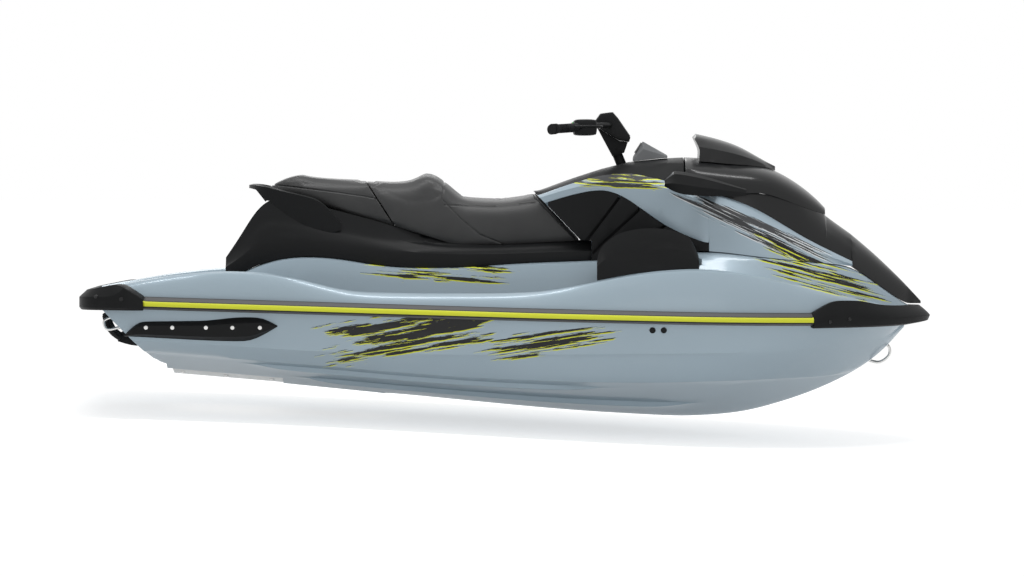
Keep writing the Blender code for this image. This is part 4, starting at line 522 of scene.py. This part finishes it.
def map_along_bond(bm):
    """A map named run: U is the place along the craft, V the height over the bond."""
    layer = bm.loops.layers.uv.new("run")
    for face in bm.faces:
        for corner in face.loops:
            place = corner.vert.co
            corner[layer].uv = (place.x, place.z - bond_level(place.x))


def settle(piece):
    """Applies the piece's modifiers to its mesh."""
    depsgraph = bpy.context.evaluated_depsgraph_get()
    done = bpy.data.meshes.new_from_object(piece.evaluated_get(depsgraph), depsgraph=depsgraph)
    piece.modifiers.clear()
    piece.data = done


def subdivided(piece, levels):
    smooth = piece.modifiers.new("smooth", "SUBSURF")
    smooth.levels = smooth.render_levels = levels


def refined(node, levels, round_edge):
    """A smooth piece from the node's solid: curved faces are subdivided and sharp edges rounded."""
    bm = merged(node)
    if node.startswith("rub_rail"):
        map_along_bond(bm)
    hold_edges(bm, CREASE_ANGLE)
    piece = add_piece(node + "_skin", bm, finish_of(node), node)
    subdivided(piece, levels)
    if round_edge:
        edges = piece.modifiers.new("edges", "BEVEL")
        edges.width = round_edge
        edges.segments = 2
        edges.limit_method = "ANGLE"
        edges.angle_limit = math.radians(CREASE_ANGLE - 4)
    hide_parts(node)


# Levels of subdivision and width of the rounded edges, without the ending _left or _right
REFINEMENT = {"hull": (2, 0.003), "deck": (2, 0.004), "cowl": (2, 0.004), "seat_base": (2, 0.005),
              "hood_upper": (2, 0.003), "hood_lower": (2, 0.004), "windscreen": (2, 0.003),
              "bow_bumper": (1, 0.004), "stern_bumper": (1, 0.004), "mirror": (2, 0.002),
              "footwell_pod": (2, 0.006), "console": (2, 0.003), "gauge_hood": (1, 0.003),
              "rub_rail": (1, 0.0), "grab_handle": (2, 0.002)}
PLAIN = {"display", "engine"}


def dress_nodes():
    """Gives each node its finish, and a refined skin where it isn't plain or a seat."""
    for node in nodes:
        nodes[node].data.materials.clear()
        nodes[node].data.materials.append(finish_of(node))
        if node not in PLAIN | SEATS:
            kind = node.removesuffix("_left").removesuffix("_right")
            refined(node, *REFINEMENT.get(kind, (1, 0.0012)))


# Where pieces sit on the nodes
TREES = {}


def tree_of(node):
    """The search tree of a node's faces, made once."""
    if node not in TREES:
        mesh = nodes[node].data
        TREES[node] = BVHTree.FromPolygons([v.co for v in mesh.vertices], [p.vertices for p in mesh.polygons])
    return TREES[node]


def seat_on(node, start, aim):
    """The point and outward normal of a node's surface, first met from start along aim."""
    place, normal = tree_of(node).ray_cast(Vector(start), Vector(aim).normalized())[:2]
    if place is None:
        raise ValueError(f"nothing of {node} is met from {start}")
    return place, (normal if normal.dot(Vector(aim)) < 0 else -normal)


def turned_to(place, normal):
    """The matrix that takes a piece made on +Z at the origin to a place and normal."""
    return Matrix.Translation(place) @ Vector(normal).to_track_quat("Z", "Y").to_matrix().to_4x4()


def placed(bm, template, matrices):
    """Adds the template's mesh to bm once for each matrix."""
    shape = bpy.data.meshes.new("shape")
    template.to_mesh(shape)
    template.free()
    for matrix in matrices:
        count = len(bm.verts)
        bm.from_mesh(shape)
        bm.verts.ensure_lookup_table()
        bmesh.ops.transform(bm, matrix=matrix, verts=bm.verts[count:])
    bpy.data.meshes.remove(shape)
    return bm


def highest(bm):
    """The face whose middle is highest."""
    return max(bm.faces, key=lambda face: face.calc_center_median().z)


def rounded(bm, edges, width, segments=3):
    bmesh.ops.bevel(bm, geom=edges, offset=width, offset_type="OFFSET", segments=segments, profile=0.5,
                    affect="EDGES", material=-1)


def sunk_disc(radius, height, segments, dome, rim, taper, sunk):
    """A domed disc with a round hollow, half below the origin. The dome and the hollow's depth are
    shares of its height, and its rim and the hollow's taper are shares of its radius."""
    bm = bmesh.new()
    bmesh.ops.create_cone(bm, cap_ends=True, segments=segments, radius1=radius, radius2=radius,
                          depth=height * 2)
    rounded(bm, list(highest(bm).edges), height * dome)
    bmesh.ops.inset_individual(bm, faces=[highest(bm)], thickness=radius * rim)
    bmesh.ops.inset_individual(bm, faces=[highest(bm)], thickness=radius * taper, depth=-height * sunk)
    return bm


def bolt_head(radius, height):
    return sunk_disc(radius, height, segments=18, dome=0.6, rim=0.45, taper=0.03, sunk=0.9)


def outlet(radius, height):
    return sunk_disc(radius, height, segments=28, dome=0.45, rim=0.22, taper=0.05, sunk=1.2)


def set_of(name, node, template, spots, material):
    """One piece of equal small shapes, set where rays (start, aim) meet the node."""
    bm = bmesh.new()
    placed(bm, template, [turned_to(*seat_on(node, start, aim)) for start, aim in spots])
    add_piece(name, bm, material, node)


def from_side(side, points):
    """Rays from one side towards the middle, at (x, z) points."""
    return [((x, side * ABEAM, z), (0, -side, 0)) for x, z in points]


def both_sides(points):
    return from_side(-1, points) + from_side(1, points)


def make_fasteners():
    """Bolts, drain outlets and drain plugs."""
    black, gloss, steel = FINISHES["black_plastic"], FINISHES["gloss_black"], FINISHES["steel"]
    row = [(x, 0.094) for x in (-1.406, -1.303, -1.172, -1.069, -0.962)]
    for side, name in ((-1, "right"), (1, "left")):
        set_of(f"sponson_bolts_{name}", f"sponson_{name}", bolt_head(0.0085, 0.0040), from_side(side, row),
               steel)
    plate = [((x, y, -0.6), (0, 0, 1)) for x in (-1.28, -1.11, -0.93) for y in (-0.15, 0.15)]
    set_of("ride_plate_bolts", "ride_plate", bolt_head(0.010, 0.004), plate, steel)
    set_of("scupper_outlets", "hull", outlet(0.012, 0.003), both_sides([(0.565, 0.083), (0.609, 0.083)]),
           black)
    astern = [((-2.5, y, 0.015), (1, 0, 0)) for y in (-0.30, 0.30)]
    set_of("drain_plugs", "hull", outlet(0.019, 0.006), astern, black)
    set_of("stern_bumper_bolts", "stern_bumper", bolt_head(0.008, 0.003),
           both_sides([(-1.50, 0.205), (-1.60, 0.215)]), gloss)
    set_of("bow_bumper_bolts", "bow_bumper", bolt_head(0.007, 0.003),
           both_sides([(1.262, 0.112), (1.34, 0.122)]), gloss)


def points_in(geom):
    """The vertices among what a bmesh operator returns."""
    return [part for part in geom if isinstance(part, bmesh.types.BMVert)]


def facing_part(node, towards, inset, thick, spread):
    """A thin plate over the faces of a node that look towards a direction, held back from their rim."""
    bm = merged(node)
    aim = Vector(towards).normalized()
    bmesh.ops.delete(bm, geom=[f for f in bm.faces if f.normal.dot(aim) < spread], context="FACES")
    bmesh.ops.inset_region(bm, faces=bm.faces[:], thickness=inset, use_boundary=True,
                           use_even_offset=True)
    rim = [f for f in bm.faces if any(e.is_boundary for e in f.edges)]
    bmesh.ops.delete(bm, geom=rim, context="FACES")
    bmesh.ops.translate(bm, verts=bm.verts, vec=aim * -thick)
    raised = bmesh.ops.extrude_face_region(bm, geom=bm.faces[:])["geom"]
    bmesh.ops.translate(bm, verts=points_in(raised), vec=aim * thick * 2)
    bmesh.ops.recalc_face_normals(bm, faces=bm.faces)
    return bm


def make_mirror_glass_and_pad_highlight():
    """Mirror glass, and a pale grey plate on the handlebar pad's faces that look up and forward: a painted
    highlight of the top light there.
    """
    for side in ("left", "right"):
        node = "mirror_" + side
        glass = facing_part(node, (-1, 0, 0), 0.004, 0.0008, 0.6)
        add_piece("mirror_glass_" + side, glass, FINISHES["mirror"], node)
    # Painted highlight: a pale grey plate over the pad faces turned up and forward, towards the top light
    panel = facing_part("handlebar_pad", (0.8, 0, 0.6), 0.007, 0.0010, 0.85)
    add_piece("pad_painted_highlight", panel, FINISHES["gauge_plastic"], "handlebar_pad")


def ring(radius, tube, segments=24):
    """A closed ring about Z at the origin."""
    bm = bmesh.new()
    turned = Matrix.Translation((radius, 0, 0)) @ Matrix.Rotation(math.radians(90), 4, "X")
    bmesh.ops.create_circle(bm, segments=8, radius=tube, matrix=turned)
    bmesh.ops.spin(bm, geom=bm.verts[:] + bm.edges[:], cent=(0, 0, 0), axis=(0, 0, 1), angle=math.tau,
                   steps=segments, use_merge=True, use_duplicate=False)
    bmesh.ops.remove_doubles(bm, verts=bm.verts, dist=1e-6)
    bmesh.ops.recalc_face_normals(bm, faces=bm.faces)
    return bm


def axis_of(node):
    """The middles of a grip's inner and outer ends, and its radius halfway."""
    points = [v.co for v in nodes[node].data.vertices]
    near = min(abs(p.y) for p in points)
    far = max(abs(p.y) for p in points)
    inner = [p for p in points if abs(p.y) < near + 0.012]
    outer = [p for p in points if abs(p.y) > far - 0.012]
    start, end = sum(inner, Vector()) / len(inner), sum(outer, Vector()) / len(outer)
    middle = (start + end) / 2
    top = seat_on(node, middle + Vector((0, 0, 0.2)), (0, 0, -1))[0]
    way = (end - start).normalized()
    return start, end, ((top - middle) - way * (top - middle).dot(way)).length


def end_cap(radius):
    """A rounded flange that closes a grip, standing on the origin."""
    bm = bmesh.new()
    bmesh.ops.create_cone(bm, cap_ends=True, segments=28, radius1=radius, radius2=radius, depth=0.010)
    rounded(bm, list(bm.edges), 0.0035)
    bmesh.ops.inset_individual(bm, faces=[highest(bm)], thickness=radius * 0.3, depth=-0.0015)
    return bm


def make_grips():
    """Ribs along each grip, and the flange at its outer end."""
    for name in ("left", "right"):
        inner, outer, radius = axis_of("grip_" + name)
        way = outer - inner
        turns = [turned_to(inner + way * (k / 15.0), way) for k in range(1, 14)]
        bm = placed(bmesh.new(), ring(radius - 0.0010, 0.0017), turns)
        placed(bm, end_cap(radius * 1.22), [turned_to(outer - way.normalized() * 0.002, way)])
        add_piece("grip_ribs_" + name, bm, FINISHES["rubber"], "grip_" + name)


def button(radius, height):
    """A round push button in a raised collar."""
    bm = bmesh.new()
    bmesh.ops.create_cone(bm, cap_ends=True, segments=20, radius1=radius * 1.3, radius2=radius * 1.15,
                          depth=height * 2)
    for inset, sunk in ((0.2, 0.0), (0.05, 0.5), (0.03, 0.1)):
        bmesh.ops.inset_individual(bm, faces=[highest(bm)], thickness=radius * inset, depth=-height * sunk)
    return bm


def make_controls():
    """Push buttons on the switch housings."""
    red, green, grey = FINISHES["red_button"], FINISHES["green_button"], FINISHES["gauge_plastic"]
    for node, z, y, finish in (("control_left", 0.888, 0.240, red), ("control_left", 0.888, 0.218, green),
                               ("control_left", 0.866, 0.229, grey), ("control_right", 0.880, -0.229, grey)):
        name = f"button_{node[8:]}_{round(z * 1000)}_{round(abs(y) * 1000)}"
        set_of(name, node, button(0.0068, 0.003), [((0.0, y, z), (1, 0, 0))], finish)


# Rows of raised tread on the mats
def tread_rib(length, width=0.006, height=0.0016):
    """A bar across the craft with rounded upper edges, half below the origin."""
    bm = bmesh.new()
    bmesh.ops.create_cube(bm, size=1.0)
    bmesh.ops.scale(bm, vec=(width, length, height * 2), verts=bm.verts)
    rounded(bm, [e for e in bm.edges if all(v.co.z > 0 for v in e.verts)], height * 0.8, segments=2)
    return bm


def leaning(place, degrees):
    return Matrix.Translation(place) @ Matrix.Rotation(math.radians(degrees), 4, "Z")


def make_tread():
    """Herringbone ribs on the footwell mats, where they are level, and on the rear mat."""
    for name, side in (("left", 1), ("right", -1)):
        node = "footwell_mat_" + name
        ribs = []
        x = TREAD_START
        while x < TREAD_END:
            for y, way in ((0.345, 1), (0.392, -1), (0.437, 1)):
                place, normal = seat_on(node, (x, side * y, 1.0), (0, 0, -1))
                if normal.z > 0.9:
                    ribs.append(leaning(place, TREAD_LEAN * way * side))
            x += TREAD_PITCH
        bm = placed(bmesh.new(), tread_rib(0.040), ribs)
        add_piece("footwell_tread_" + name, bm, FINISHES["mat"], node)
    low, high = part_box("rear_mat")
    ribs = []
    for column in range(11):
        lean = TREAD_LEAN if column % 2 else -TREAD_LEAN
        for row in range(9):
            place = (low[0] + 0.022 + row * 0.0262, (column - 5) * 0.0455, high[2])
            ribs.append(leaning(place, lean))
    add_piece("rear_tread", placed(bmesh.new(), tread_rib(0.038), ribs), FINISHES["mat"], "rear_mat")


# Seams of the seat covers, seen from the side: place along, height
FRONT_SEAMS = [
    [(-0.246, 0.720), (-0.248, 0.681), (-0.256, 0.590), (-0.188, 0.518), (-0.109, 0.451),
     (-0.030, 0.419), (0.0, 0.40)],
    [(-0.250, 0.568), (-0.060, 0.563), (0.109, 0.578)],
    [(0.095, 0.640), (0.109, 0.600), (0.2795, 0.419), (0.32, 0.38)],
]
REAR_SEAMS = [[(-0.960, 0.652), (-0.862, 0.641), (-0.700, 0.622), (-0.561, 0.602), (-0.52, 0.594)]]


def cut_seams(bm, seams):
    """Cuts the mesh along each seam, seen from the side, with a line on either side of it."""
    for seam in seams:
        for (x0, z0), (x1, z1) in zip(seam, seam[1:]):
            along = Vector((x1 - x0, 0, z1 - z0))
            length = along.length
            along.normalize()
            across = Vector((along.z, 0, -along.x))
            for shift in (-CHANNEL_HALF, 0.0, CHANNEL_HALF):
                start = Vector((x0, 0, z0)) + across * shift
                faces = []
                for face in bm.faces:
                    spans = [(v.co - start).dot(along) for v in face.verts]
                    heights = [(v.co - start).dot(across) for v in face.verts]
                    if max(spans) > 0 and min(spans) < length and min(heights) < 0 < max(heights):
                        faces.append(face)
                edges = list({e for f in faces for e in f.edges})
                points = list({v for f in faces for v in f.verts})
                bmesh.ops.bisect_plane(bm, geom=faces + edges + points, dist=1e-6, plane_co=start,
                                       plane_no=across)


def to_seam(point, seams):
    """The distance from a point to the nearest seam, seen from the side."""
    best = 9.0
    for seam in seams:
        for (x0, z0), (x1, z1) in zip(seam, seam[1:]):
            dx, dz = x1 - x0, z1 - z0
            t = ((point.x - x0) * dx + (point.z - z0) * dz) / (dx * dx + dz * dz)
            t = min(1.0, max(0.0, t))
            best = min(best, math.hypot(point.x - x0 - t * dx, point.z - z0 - t * dz))
    return best


def swell(piece, neighbours, seams):
    """Inflates the cover as cloth, held at its seams and where it meets its neighbours."""
    trees = [tree_of(name) for name in neighbours]
    held = piece.vertex_groups.new(name="held")
    rest = [v.co.copy() for v in piece.data.vertices]
    for vertex in piece.data.vertices:
        near = any(tree.find_nearest(vertex.co, HELD_NEAR)[0] is not None for tree in trees)
        tight = 1.0 if near or to_seam(vertex.co, seams) < HELD_SEAM else 0.0
        held.add([vertex.index], tight, "REPLACE")
    cloth = piece.modifiers.new("cloth", "CLOTH")
    cloth.settings.vertex_group_mass = "held"
    cloth.settings.use_pressure = True
    cloth.settings.uniform_pressure_force = 4.0
    cloth.settings.effector_weights.gravity = 0.0
    cloth.settings.quality = 5
    cloth.point_cache.frame_end = CLOTH_FRAMES
    for number in range(1, CLOTH_FRAMES + 1):
        bpy.context.scene.frame_set(number)
    settle(piece)
    bpy.context.scene.frame_set(1)
    for vertex, before in zip(piece.data.vertices, rest):
        move = vertex.co - before
        if move.length > SWELL_MOST:
            vertex.co = before + move * (SWELL_MOST / move.length)


def seat_cover(node, seams, neighbours):
    """A padded cover over the node's foam: a smooth crowned form with sewn channels."""
    bm = merged(node)
    hold_edges(bm, 46.0)
    piece = add_piece(node + "_cover", bm, finish_of(node), node)
    subdivided(piece, 3)
    settle(piece)
    bm = bmesh.new()
    bm.from_mesh(piece.data)
    cut_seams(bm, seams)
    bmesh.ops.triangulate(bm, faces=[f for f in bm.faces if len(f.verts) > 4])
    bm.to_mesh(piece.data)
    bm.free()
    swell(piece, neighbours, seams)
    normals = [v.normal.copy() for v in piece.data.vertices]
    for vertex, normal in zip(piece.data.vertices, normals):
        sunk = max(0.0, 1.0 - to_seam(vertex.co, seams) / CHANNEL_HALF)
        vertex.co -= normal * (CHANNEL_DEPTH * sunk)
    piece.data.shade_smooth()
    piece.data.set_sharp_from_angle(angle=math.radians(70))
    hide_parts(node)


def outermost(names, x, z, side):
    """The furthest out that any of the nodes reaches at a place seen from the side."""
    best = 0.0
    for name in names:
        place = tree_of(name).ray_cast(Vector((x, side * ABEAM, z)), Vector((0, -side, 0)))[0]
        if place is not None:
            best = max(best, abs(place.y))
    return best


def welt(points, radius):
    """A round rubber welt through the points."""
    bm = bmesh.new()
    bmesh.ops.create_circle(bm, segments=10, radius=radius,
                            matrix=turned_to(points[0], points[1] - points[0]))
    rim = bm.edges[:]
    for index, point in enumerate(points[1:], 1):
        moved = bmesh.ops.extrude_edge_only(bm, edges=rim)["geom"]
        rim = [e for e in moved if isinstance(e, bmesh.types.BMEdge)]
        bmesh.ops.translate(bm, vec=point - points[index - 1], verts=points_in(moved))
    bmesh.ops.holes_fill(bm, edges=[e for e in bm.edges if e.is_boundary], sides=0)
    bmesh.ops.recalc_face_normals(bm, faces=bm.faces)
    return bm


def make_welts():
    """Welts that close the joint between the front seat and the knee panels."""
    for side, name in ((-1, "right"), (1, "left")):
        points = []
        for step in range(WELT_STEPS + 1):
            x, z = Vector(WELT_TOP).lerp(Vector(WELT_FOOT), step / WELT_STEPS)
            y = outermost(["knee_panel_" + name, "cowl", "seat_front"], x, z, side)
            points.append(Vector((x, side * (y + 0.001), z)))
        add_piece("seat_welt_" + name, welt(points, WELT_R), FINISHES["rubber"], "cowl")


def make_seats():
    seat_cover("seat_front", FRONT_SEAMS,
               ["seat_base", "seat_rear", "cowl", "deck", "knee_panel_left", "knee_panel_right"])
    seat_cover("seat_rear", REAR_SEAMS, ["seat_base", "seat_front", "grab_handle", "deck"])


dress_nodes()
make_seats()
make_fasteners()
make_grips()
make_controls()
make_mirror_glass_and_pad_highlight()
make_welts()
make_tread()


# Studio
def floor_height(x, y):
    """The floor leans a little under the craft and runs level further out."""
    along = FLOOR_RUN_X * math.tanh(x / FLOOR_RUN_X)
    across = FLOOR_RUN_Y * math.tanh(y / FLOOR_RUN_Y)
    return FLOOR_LEVEL + FLOOR_FALL * (across - along)


def seen_directly(w):
    """1 for rays from the camera, mirrors and clear pieces, and 0 for those that carry light."""
    path = w.node("ShaderNodeLightPath").outputs
    return w.either(path["Is Camera Ray"], path["Is Glossy Ray"], path["Is Transmission Ray"])


def make_floor():
    """A pale floor that comes out white away from the shadow."""
    bm = bmesh.new()
    bmesh.ops.create_grid(bm, x_segments=160, y_segments=160, size=1.0)
    for vertex in bm.verts:
        x, y = (FLOOR_HALF * math.copysign(abs(c) ** 3.0, c) for c in vertex.co.xy)
        vertex.co = (x, y, floor_height(x, y))
    mesh = bpy.data.meshes.new("studio_floor")
    bm.to_mesh(mesh)
    bm.free()
    mesh.shade_smooth()
    made, w, shader = blank("studio_floor")
    w.put(shader["Base Color"], (0.80, 0.80, 0.80))
    w.put(shader["Roughness"], 0.9)
    w.put(shader["Specular IOR Level"], 0.0)
    w.put(shader["Emission Color"], (1.0, 1.0, 1.0))
    w.put(shader["Emission Strength"], w.maths("MULTIPLY", seen_directly(w), FLOOR_GLOW))
    mesh.materials.append(made)
    floor = bpy.data.objects.new("studio_floor", mesh)
    bpy.context.scene.collection.objects.link(floor)


def softbox(name, place, target, width, height, power):
    """A rectangular lamp at a place, facing its target."""
    light = bpy.data.lights.new(name, "AREA")
    light.shape = "RECTANGLE"
    light.size = width
    light.size_y = height
    light.energy = power
    lamp = bpy.data.objects.new(name, light)
    lamp.location = place
    lamp.rotation_euler = (Vector(target) - Vector(place)).to_track_quat("-Z", "Y").to_euler()
    bpy.context.scene.collection.objects.link(lamp)


def make_studio():
    """White surroundings, three soft lamps and the floor."""
    world = bpy.data.worlds.new("studio")
    bpy.context.scene.world = world
    world.use_nodes = True
    w = Wires(world.node_tree)
    back = world.node_tree.nodes["Background"]
    w.put(back.inputs["Color"], (1.0, 1.0, 1.0))
    extra = w.maths("MULTIPLY", seen_directly(w), 1.0 - SKY_LIGHT)
    w.put(back.inputs["Strength"], w.maths("ADD", SKY_LIGHT, extra))
    softbox("top_light", (0.0, -0.7, 3.6), (0.0, 0.0, 0.2), 4.6, 0.40, 85.0)
    softbox("front_light", (1.5, -5.0, 1.0), (0.2, 0.0, 0.2), 3.0, 1.2, 8.0)
    softbox("back_light", (-1.0, 4.5, 2.6), (0.0, 0.0, 0.3), 3.5, 1.4, 30.0)
    make_floor()


def make_camera():
    """A long lens abeam to starboard, one degree above the horizon."""
    above = math.radians(1.0)
    target = Vector(CAMERA_TARGET)
    data = bpy.data.cameras.new("camera")
    data.sensor_width = SENSOR
    data.lens = SENSOR * CAMERA_DISTANCE / VIEW_WIDTH
    data.clip_end = 500.0
    camera = bpy.data.objects.new("camera", data)
    camera.location = target + CAMERA_DISTANCE * Vector((0.0, -math.cos(above), math.sin(above)))
    camera.rotation_euler = (target - camera.location).to_track_quat("-Z", "Y").to_euler()
    bpy.context.scene.collection.objects.link(camera)
    bpy.context.scene.camera = camera


make_camera()
make_studio()
bpy.context.scene.view_settings.view_transform = "Standard"
